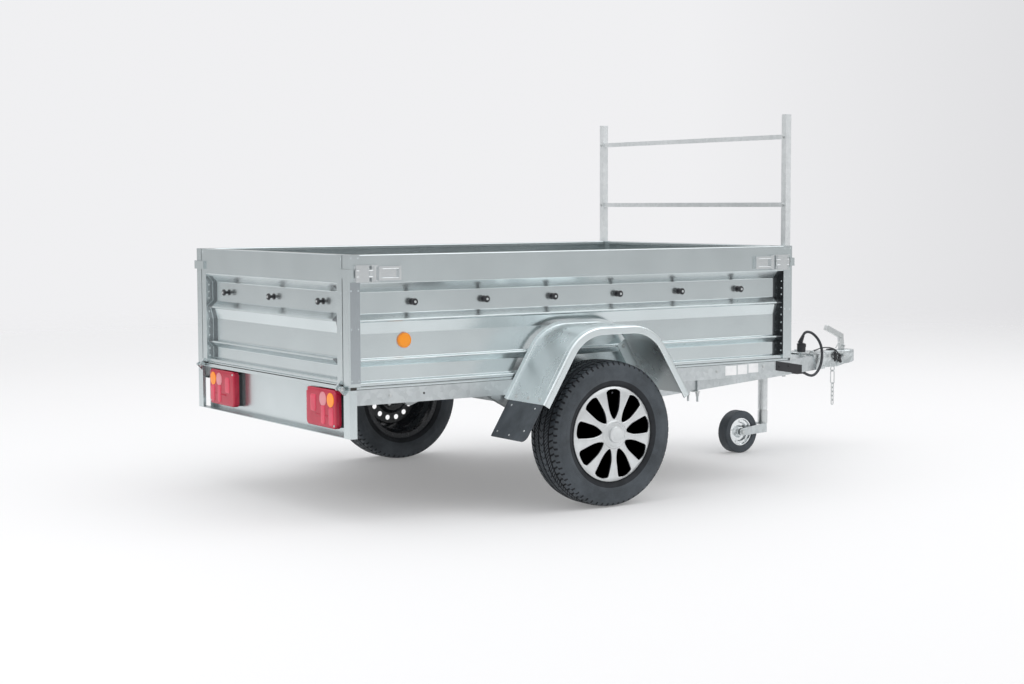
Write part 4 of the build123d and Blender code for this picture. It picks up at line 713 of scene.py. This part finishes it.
def make_lamp(side, name, mats):
    """Rear lamp: black base, red lens, chambers in a lighter pink that is painted reflection, amber and
    clear round lenses.
    """
    middle = at(0.0, side * (LAMP_OUT - LAMP_SIZE[0] / 2), LAMP_LOW + LAMP_SIZE[1] / 2)
    width, height = LAMP_SIZE
    bm = bmesh.new()
    pillow(bm, middle, width - 0.006, height - 0.006, 0.018, [(0.0425, 0.0), (0.024, 0.0), (0.0225, 0.0015)])
    finish_mesh("lamp_base_" + name, bm, mats["black"])
    bm = bmesh.new()
    pillow(bm, middle, width, height, 0.022,
           [(0.026, 0.0), (0.0075, 0.0), (0.0045, 0.0008), (0.0022, 0.0026), (0.0008, 0.0055),
            (0.0002, 0.0100)])
    pillow(bm, middle + Vector((0, side * 0.030, -0.030)), 0.150, 0.010, 0.004,
           [(0.0008, 0.0), (-0.0006, 0.0), (-0.0012, 0.001)])
    finish_mesh("lamp_lens_" + name, bm, mats["red"], replaces=("lamp_" + name,), sharp=50)
    bm = bmesh.new()
    for y, low, tall, wide in ((0.088, -0.066, 0.074, 0.040), (0.022, -0.066, 0.080, 0.034),
                               (-0.060, -0.020, 0.070, 0.046)):
        place = middle + Vector((0, side * y, low + tall / 2))
        pillow(bm, place, wide, tall, 0.012,
               [(0.001, 0.0), (-0.0012, 0.0006), (-0.0022, 0.003), (-0.0026, 0.007)])
    # The chambers' lighter pink is painted reflection.
    finish_mesh("lamp_chambers_" + name, bm, mats["pink"], sharp=60)
    back = Vector((-1, 0, 0))
    rings = [(0.0285, 0.0), (0.0285, 0.0024), (0.0250, 0.0034), (0.0215, 0.0038), (0.0205, 0.0034),
             (0.0195, 0.0037), (0.0150, 0.0038), (0.0080, 0.0038), (0.0020, 0.0038)]
    for tag, y, mat, slot in (("turn", 0.084, "amber", "amber_lens"), ("clear", 0.022, "clear", "red_lens")):
        bm = bmesh.new()
        stack(bm, middle + Vector((0.001, side * y, 0.036)), back, rings, 36)
        finish_mesh("lamp_%s_%s" % (tag, name), bm, mats[mat], sharp=60)
    bm = bmesh.new()
    for y, z in ((0.112, -0.064), (-0.112, 0.064)):
        pan_screw(bm, middle + Vector((0.0008, side * y, z)), back, 0.0048)
    finish_mesh("lamp_screws_" + name, bm, mats["zinc"])


def make_reflector(side, mats):
    """Round amber reflector in its rim on a side wall."""
    out = Vector((0, side, 0))
    seat = at(0.262, side * 0.668, 0.7070)
    name = "right" if side < 0 else "left"
    bm = bmesh.new()
    rings = [(0.0300, 0), (0.0300, 0.0062), (0.0288, 0.0078), (0.0276, 0.0078), (0.0270, 0.0066)]
    stack(bm, seat, out, rings, 48)
    rim_piece = finish_mesh("reflector_rim_" + name, bm, mats["amber"])
    bm = bmesh.new()
    rings = [(0.0272, 0.0060), (0.0268, 0.0078), (0.0230, 0.0090), (0.0160, 0.0096), (0.0080, 0.0099),
             (0.0015, 0.0100)]
    stack(bm, seat, out, rings, 48)
    finish_mesh("reflector_lens_" + name, bm, mats["prism"], sharp=60)
    return rim_piece


# ---- small fittings ----
KNOB_Z = 0.8575
KNOB_PITCH = 0.3368
GUARD_TOP, GUARD_FOOT = 0.743, 0.447
GUARD_HALF_TOP, GUARD_HALF_FOOT = 0.187, 0.371
GUARD_BEND = 0.200
GUARD_SLOPE = atan2(GUARD_TOP - GUARD_FOOT, GUARD_HALF_FOOT - GUARD_HALF_TOP)


def guard_curve(lift):
    """Side view (x, z) of the mudguard's outer surface, lifted along its normal."""
    steps = 14
    flat = GUARD_HALF_TOP - GUARD_BEND * tan(GUARD_SLOPE / 2)
    half = [(flat * i / 4, GUARD_TOP + lift) for i in range(4)]
    centre = GUARD_TOP - GUARD_BEND
    for i in range(steps + 1):
        turn = GUARD_SLOPE * i / steps
        half.append((flat + (GUARD_BEND + lift) * sin(turn), centre + (GUARD_BEND + lift) * cos(turn)))
    foot = (GUARD_HALF_FOOT + lift * sin(GUARD_SLOPE), GUARD_FOOT + lift * cos(GUARD_SLOPE))
    last = half[-1]
    half += [(last[0] + (foot[0] - last[0]) * i / 4, last[1] + (foot[1] - last[1]) * i / 4)
             for i in range(1, 5)]
    return [(-x, z) for x, z in reversed(half[1:])] + half


def make_guard_trim(side, name, mats):
    """Pressed beads along the mudguard, and the bolts of its feet, stay and flap."""
    bm = bmesh.new()
    for offset in (0.016, 0.238):
        way = [at(WHEEL_X + x, side * (BOX_SIDE + offset), z) for x, z in guard_curve(-0.0012)]
        pipe(bm, way[1:-1], 0.0020, 10)
    finish_mesh("guard_beads_" + name, bm, mats["guard"], sharp=80)
    bm = bmesh.new()
    out = Vector((-sin(GUARD_SLOPE), 0, cos(GUARD_SLOPE)))
    up = Vector((cos(GUARD_SLOPE), 0, sin(GUARD_SLOPE)))
    foot = at(WHEEL_X - GUARD_HALF_FOOT, 0, GUARD_FOOT)
    for offset in (0.055, 0.140, 0.222):
        hex_head(bm, foot + up * 0.020 + Vector((0, side * (BOX_SIDE + offset), 0)), out, 0.010, 0.0040)
    front_out = Vector((sin(GUARD_SLOPE), 0, cos(GUARD_SLOPE)))
    front_up = Vector((-cos(GUARD_SLOPE), 0, sin(GUARD_SLOPE)))
    front = at(WHEEL_X + GUARD_HALF_FOOT, 0, GUARD_FOOT)
    hex_head(bm, front + front_up * 0.030 + Vector((0, side * 0.720, 0)), front_out, 0.010, 0.0040)
    for x, z in ((1.3187, 0.6368), (1.387, 0.5410)):
        hex_head(bm, at(x, side * 0.703, z), (0, side, 0), 0.013, 0.0055)
    finish_mesh("guard_bolts_" + name, bm, mats["zinc"])
    bm = bmesh.new()
    flap_face = foot - out * 0.002
    for offset, drop in ((0.040, 0.140), (0.130, 0.148), (0.215, 0.120), (0.050, 0.020), (0.215, 0.020)):
        dome(bm, flap_face - up * drop + Vector((0, side * (BOX_SIDE + offset), 0)), out, 0.0042, 0.0018)
    finish_mesh("flap_rivets_" + name, bm, mats["zinc"], sharp=60)


def make_knob_screws(mats):
    """Steel screw in the head of each hook knob."""
    bm = bmesh.new()
    for side in (-1, 1):
        for i in range(6):
            pan_screw(bm, at(0.298 + KNOB_PITCH * i, side * 0.698, KNOB_Z), (0, side, 0))
    finish_mesh("side_knob_screws", bm, mats["zinc"])
    for body, x, way in (("tailgate", 0.002, -1), ("front_gate", 2.278, 1)):
        bm = bmesh.new()
        for i in (-1, 0, 1):
            pan_screw(bm, at(x, 0.435 * i, KNOB_Z), (way, 0, 0))
        finish_mesh(body + "_knob_screws", bm, mats["zinc"], body)


def make_rivets(mats):
    """Rivets of the end profiles on the walls and gates."""
    bm = bmesh.new()
    rows = (0.886, 0.855, 0.826, 0.768, 0.735, 0.700, 0.662, 0.604, 0.572)
    for side in (-1, 1):
        for z in rows:
            for x, way in ((2.230, -1), (0.050, 1)):
                dome(bm, at(x, side * 0.684, z), (way, 0, 0), 0.0046, 0.0022)
        out = Vector((0, side, 0))
        for x in (0.012, 0.043, 2.237, 2.268):
            for z in (1.033, 0.908, 0.760, 0.560):
                dome(bm, at(x, side * BOX_SIDE, z), out, 0.0032, 0.0014)
    finish_mesh("wall_rivets", bm, mats["sheet"], sharp=60)
    for body, face, depth, way in (("tailgate", 0.0, 0.016, -1), ("front_gate", BOX_LENGTH, 2.264, 1)):
        bm = bmesh.new()
        for side in (-1, 1):
            for z in rows:
                dome(bm, at(depth, side * 0.605, z), (0, -side, 0), 0.0046, 0.0022)
            for z in (1.030, 0.900, 0.745, 0.570):
                dome(bm, at(face, side * 0.640, z), (way, 0, 0), 0.0034, 0.0014)
        finish_mesh(body + "_rivets", bm, mats["sheet"], body, sharp=60)


def make_latch_trim(mats):
    """Curved straps and springs, hinge pins, wires and rivets of the over-centre latches."""
    bm = bmesh.new()
    for side in (-1, 1):
        out = Vector((0, side, 0))
        for start, way in ((0.0, 1), (BOX_LENGTH, -1)):
            def spot(x, y, z):
                return at(start + way * x, side * y, z)
            for dz in (-0.027, 0.027):
                for x in (0.036, 0.120):
                    dome(bm, spot(x, 0.703, 0.973 + dz), out, 0.0036, 0.0020)
            for dz in (-0.012, 0.012):
                spring = [spot(0.030 + 0.009 * i, 0.711 + 0.0018 * sin(pi * i / 8), 0.973 + dz)
                          for i in range(9)]
                pipe(bm, spring, 0.0018, 8)
            arc = [(0.030 + 0.064 * i / 16, 0.7050 + 0.0150 * sin(pi * i / 16) ** 0.8) for i in range(17)]
            loop = arc + [(x, y - 0.0014) for x, y in reversed(arc)]
            low_ring = [bm.verts.new(spot(x, y, 0.941)) for x, y in loop]
            high_ring = [bm.verts.new(spot(x, y, 1.005)) for x, y in loop]
            for i in range(len(loop)):
                j = (i + 1) % len(loop)
                bm.faces.new((low_ring[i], low_ring[j], high_ring[j], high_ring[i]))
            bm.faces.new(low_ring[::-1])
            bm.faces.new(high_ring)
            pipe(bm, [spot(0.101, 0.7085, 0.938), spot(0.101, 0.7085, 1.008)], 0.0034, 14)
            pipe(bm, [spot(0.130, 0.7115, 0.948), spot(0.130, 0.7115, 0.998)], 0.0030, 14)
            for z in (0.9555, 0.9905):
                pipe(bm, [spot(0.142, 0.7142, z), spot(0.214, 0.7142, z)], 0.0014, 8)
    finish_mesh("latch_trim", bm, mats["bright"], sharp=60)


def make_frame_bolts(mats):
    """Bolts of the rails, nose plate, coupling and rack, U-bolts, rack caps and rail plugs."""
    bm = bmesh.new()
    down, up = Vector((0, 0, -1)), Vector((0, 0, 1))
    for side in (-1, 1):
        out = Vector((0, side, 0))
        for x, z in ((0.180, 0.497), (0.780, 0.497), (1.560, 0.497), (1.840, 0.497), (2.112, 0.506)):
            hex_head(bm, at(x, side * BOX_SIDE, z), out, 0.010, 0.0038)
        for x, y in ((2.700, 0.196), (2.905, 0.121)):
            hex_head(bm, at(x, side * y, 0.469), up, 0.017, 0.008)
            hex_head(bm, at(x, side * y, 0.397), down, 0.017, 0.009)
        hex_head(bm, at(3.020, side * 0.060, 0.480), up, 0.017, 0.008)
        hex_head(bm, at(3.162, side * 0.032, 0.456), out, 0.013, 0.006)
        for leg in (-1, 1):
            place = at(1.865 - side * leg * 0.0083 * side, side * (0.5047 - leg * 0.0225), 0.392)
            hex_head(bm, place, down, 0.016, 0.009)
            stack(bm, place + down * 0.013, down, [(0.0085, 0), (0.0085, 0.005), (0.0075, 0.006)], 6)
        plate = at(1.865, side * 0.5047, 0.3945)
        turn = atan2(0.0225, 0.0083)
        run = Vector((cos(turn), -side * sin(turn), 0))
        brick(bm, plate, (run, up.cross(run), up), (0.074, 0.026, 0.005), 0.001)
    for z in (1.535, 1.230):
        for side in (-1, 1):
            hex_head(bm, at(2.240, side * 0.683, z), (-1, 0, 0), 0.010, 0.004)
    finish_mesh("frame_bolts", bm, mats["zinc"])
    bm = bmesh.new()
    for side in (-1, 1):
        slab(bm, at(2.2425, side * 0.683 - 0.0125, 1.629), at(2.2675, side * 0.683 + 0.0125, 1.635), 0.0015)
    finish_mesh("rack_caps", bm, mats["sheet"])
    bm = bmesh.new()
    for side in (-1, 1):
        out = Vector((0, side, 0))
        stack(bm, at(0.333, side * 0.7001, 0.497), out,
              [(0.0045, 0), (0.0045, 0.0006), (0.0028, 0.0006), (0.0026, -0.0006)], 20)
        for x in (2.205, 2.262):
            pan_screw(bm, at(x, side * 0.704, 0.500), out, 0.005)
    finish_mesh("rail_plugs", bm, mats["black"])


def make_edge_strips(mats):
    """Thin sheet strips along the floor's side edges and under both gates."""
    bm = bmesh.new()
    for side in (-1, 1):
        near, far = sorted((side * 0.6925, side * 0.6903))
        slab(bm, at(0.036, near, 0.5262), at(2.270, far, 0.5364), 0.0006)
    finish_mesh("floor_edges", bm, mats["sheet"])
    for body, x0, x1 in (("tailgate", 0.0035, 0.030), ("front_gate", 2.250, 2.2765)):
        bm = bmesh.new()
        slab(bm, at(x0, -0.600, 0.5405), at(x1, 0.600, 0.5462), 0.0008)
        finish_mesh(body + "_foot_strip", bm, mats["sheet"], body)


def make_labels(mats):
    """Three blank white stickers on the right rail."""
    bm = bmesh.new()
    for start, end, low, high in ((1.888, 1.953, 0.477, 0.519), (1.960, 2.015, 0.478, 0.520),
                                  (2.024, 2.081, 0.482, 0.522)):
        slab(bm, at(start, -0.7006, low), at(end, -0.6999, high), 0.0003)
    finish_mesh("blank_labels", bm, mats["label"])


def make_coupling_trim(mats):
    """Clip, ring and pin of the handle, breakaway clip with the neck's band, and pivots."""
    bm = bmesh.new()
    clip = ((3.228, -0.013, 0.492), (3.236, -0.014, 0.503), (3.250, -0.014, 0.520), (3.262, -0.013, 0.536))
    pipe(bm, [at(*place) for place in clip], 0.0034, 12)
    ring = [at(3.262 + 0.006 * cos(t), -0.0135, 0.541 + 0.006 * sin(t)) for t in circle(20)]
    pipe(bm, ring, 0.0018, 8, closed=True)
    pipe(bm, [at(3.281, -0.024, 0.500), at(3.281, 0.024, 0.500)], 0.0045, 16)
    finish_mesh("handle_clip", bm, mats["zinc"])
    bm = bmesh.new()
    centre = at(3.211, -0.0455, 0.4505)
    ring = [centre + Vector((0.0185 * cos(t), 0.002 * sin(2 * t), 0.0150 * sin(t))) for t in circle(36)]
    pipe(bm, ring, 0.0042, 12, closed=True)
    around = [(-0.026, 0.424), (0.0, 0.421), (0.026, 0.424), (0.0345, 0.436), (0.0345, 0.468),
              (0.026, 0.480), (0.0, 0.483), (-0.026, 0.480), (-0.0345, 0.468), (-0.0345, 0.436)]
    pipe(bm, [at(3.205, y, z) for y, z in around], 0.0060, 12, closed=True)
    brick(bm, centre + Vector((0.017, 0, 0.0)), AXES, (0.010, 0.010, 0.018), 0.002)
    brick(bm, centre + Vector((-0.016, 0, 0.006)), AXES, (0.012, 0.012, 0.014), 0.003)
    finish_mesh("breakaway_clip", bm, mats["black"])
    bm = bmesh.new()
    rings = [(0.0075, -0.002), (0.0075, 0.0014), (0.0058, 0.0022), (0.0020, 0.0024)]
    for side in (-1, 1):
        stack(bm, at(3.262, side * 0.0415, 0.452), (0, side, 0), rings, 24)
    finish_mesh("coupling_pivot", bm, mats["zinc"])


def make_jockey_trim(mats):
    """Axle nuts, rim rivets and tread ribs of the jockey wheel."""
    bm = bmesh.new()
    for side in (-1, 1):
        hex_head(bm, at(JOCKEY_X, side * 0.0385, JOCKEY_Z), (0, side, 0), 0.019, 0.0075, 0.2)
    finish_mesh("jockey_nuts", bm, mats["zinc"], "jockey_fork")
    bm = bmesh.new()
    hub = at(JOCKEY_X, 0, JOCKEY_Z)
    for side in (-1, 1):
        for i in range(5):
            turn = 2 * pi * i / 5 + 0.4
            place = hub + Vector((0.053 * cos(turn), side * 0.0162, 0.053 * sin(turn)))
            dome(bm, place, (0, side, 0), 0.0040, 0.0022)
    finish_mesh("jockey_rivets", bm, mats["zinc"], "jockey_wheel", sharp=60)
    bm = bmesh.new()
    for y in (-0.014, 0.0, 0.014):
        ring = [at(JOCKEY_X + 0.1032 * cos(t), y, JOCKEY_Z + 0.1032 * sin(t)) for t in circle(96)]
        pipe(bm, ring, 0.0016, 8, closed=True)
    finish_mesh("jockey_tread_ribs", bm, mats["tyre"], "jockey_wheel", sharp=80)


def make_hinge_trim(mats):
    """Caps on the ends of the hinge pins."""
    bm = bmesh.new()
    rings = [(0.0075, 0), (0.0085, 0.001), (0.0085, 0.004), (0.0060, 0.0055)]
    for side in (-1, 1):
        for x in (-0.014, 2.294):
            stack(bm, at(x, side * 0.670, 0.530), (0, side, 0), rings, 20)
    finish_mesh("hinge_caps", bm, mats["zinc"], sharp=50)


def make_sheet(name):
    """Steel of the walls and gates."""
    return galvanised(name, (0.66, 0.72, 0.73), (0.60, 0.655, 0.665), 45.0, 0.21, wave=0.20, fleck=0.04)


def make_materials():
    """All materials by name. The zones paint shade and dark reflection into the recess ends and the rear
    posts.
    """
    mats = {
        "sheet": make_sheet("galvanised_sheet"),
        # The wall and gate copies of the sheet carry painted shade and painted dark reflection in their
        # boxes.
        "wall": paint_shade_zones(
            make_sheet("galvanised_wall_painted_shade"),
            (((2.214 - MIDDLE_X, 0.672, 0.745), (0.0200, 0.0262, 0.190), 0.20),
             ((0.030 - MIDDLE_X, 0.700, 0.745), (0.0230, 0.0100, 0.195), 0.70))),
        "gate": paint_shade_zones(
            make_sheet("galvanised_gate_painted_shade"),
            (((0.0, 0.580, 0.745), (4.0, 0.0215, 0.180), 0.34),)),
        "guard": galvanised("galvanised_guard", (0.78, 0.84, 0.85), (0.70, 0.76, 0.77), 50.0, 0.27,
                            wave=0.10, fleck=0.02),
        "coupling": galvanised("coupling_steel", (0.84, 0.89, 0.90), (0.36, 0.39, 0.395), 60.0, 0.28,
                               wave=0.3, fleck=0.5),
        "rack": galvanised("dull_galvanised_rack", (0.86, 0.885, 0.89), (0.70, 0.73, 0.735), 60.0, 0.5,
                           wave=0.3, fleck=0.4),
        "frame": galvanised("galvanised_frame", (0.70, 0.74, 0.75), (0.52, 0.56, 0.57), 55.0, 0.38,
                            wave=0.2, fleck=0.5),
        "zinc": galvanised("passivated_zinc", (0.70, 0.73, 0.73), (0.54, 0.56, 0.56), 200.0, 0.30, wave=0.2),
        "tyre": rubber("tyre_rubber", (0.034, 0.042, 0.050), 260.0, 0.55),
        "flap": rubber("flap_rubber", (0.040, 0.048, 0.056), 90.0, 0.62),
        "cord": rubber("cable_rubber", (0.020, 0.022, 0.026), 400.0, 0.48),
        "black": plastic("black_plastic", (0.014, 0.015, 0.018), 0.34),
        "rim": plastic("black_rim_paint", (0.016, 0.019, 0.023), 0.26),
        "silver": plastic("silver_cover_paint", (0.62, 0.64, 0.645), 0.38, 300.0, 0.001),
        "gloss": galvanised("dark_dish_steel", (0.20, 0.22, 0.23), (0.07, 0.08, 0.09), 30.0, 0.16,
                            wave=0.05, fleck=0.3),
        # Darker rubber for the groove floors: painted shade.
        "groove": rubber("tread_groove_painted_shade", (0.008, 0.010, 0.013), 260.0, 0.8),
        "bright": galvanised("bright_zinc", (0.86, 0.89, 0.90), (0.74, 0.77, 0.78), 120.0, 0.13,
                             wave=0.1, fleck=0.1),
        "red": plastic("red_lens", (0.40, 0.008, 0.035), 0.12, 900.0),
        # Lighter pink of the lamp chambers: painted reflection.
        "pink": plastic("chamber_painted_reflection", (0.60, 0.040, 0.085), 0.14, 900.0),
        "amber": plastic("amber_lens", (0.95, 0.26, 0.006), 0.14, 900.0),
        "clear": plastic("pale_lens", (0.62, 0.22, 0.25), 0.10, 900.0),
        "prism": prism_lens("prism_lens", (0.97, 0.30, 0.008)),
        "label": plastic("blank_label", (0.80, 0.81, 0.82), 0.35),
        "wood": plywood("phenolic_plywood"),
    }
    silver = mats["silver"].node_tree
    feed(silver, silver.nodes["Principled BSDF"], {"Metallic": 0.6})
    return mats


def dress_nodes(mats):
    """Material for every CAD node, by the first word that its name starts with."""
    table = (
        ("rail", "frame"), ("cross", "frame"), ("drawbar", "frame"), ("nose", "frame"),
        ("coupling_handle", "zinc"), ("coupling", "coupling"), ("axle", "frame"), ("swing", "frame"),
        ("rack", "rack"), ("jockey_inner", "zinc"), ("jockey_tyre", "tyre"), ("jockey_tube", "rack"),
        ("jockey_rim", "bright"), ("mudguard", "guard"), ("wall", "wall"), ("tailgate_hooks", "black"),
        ("tailgate", "gate"), ("jockey", "frame"), ("tyre", "tyre"), ("mudflap", "flap"),
        ("marker", "black"), ("plug_holder", "zinc"), ("plug", "black"), ("cable", "black"),
        ("breakaway", "black"), ("hooks", "black"), ("front_gate_hooks", "black"), ("rim", "rim"),
        ("cover_right", "silver"), ("cover_left", "zinc"), ("lamp", "red"), ("side_reflectors", "amber"),
        ("floor", "wood"), ("safety_chain", "zinc"), ("latches", "bright"), ("", "sheet"))
    for name, obj in nodes.items():
        material = next(mat for start, mat in table if name.startswith(start))
        obj.data.materials.clear()
        obj.data.materials.append(mats[material])


make_camera()
materials = make_materials()
make_cords(materials["cord"], materials["black"])
make_studio()
dress_nodes(materials)
make_tyre("tread_right", "tyre_right", -1, materials, "wheel_right")
make_tyre("tread_left", "tyre_left", 1, materials, "wheel_left")
make_cover(materials)
make_wheel_parts(materials["zinc"], materials["cord"])
for side, name in SIDES:
    make_lamp(side, name, materials)
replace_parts(make_reflector(-1, materials), "side_reflectors")
make_reflector(1, materials)
make_knob_screws(materials)
make_rivets(materials)
make_latch_trim(materials)
make_frame_bolts(materials)
make_edge_strips(materials)
make_labels(materials)
make_coupling_trim(materials)
make_jockey_trim(materials)
make_hinge_trim(materials)
for side, name in SIDES:
    make_guard_trim(side, name, materials)
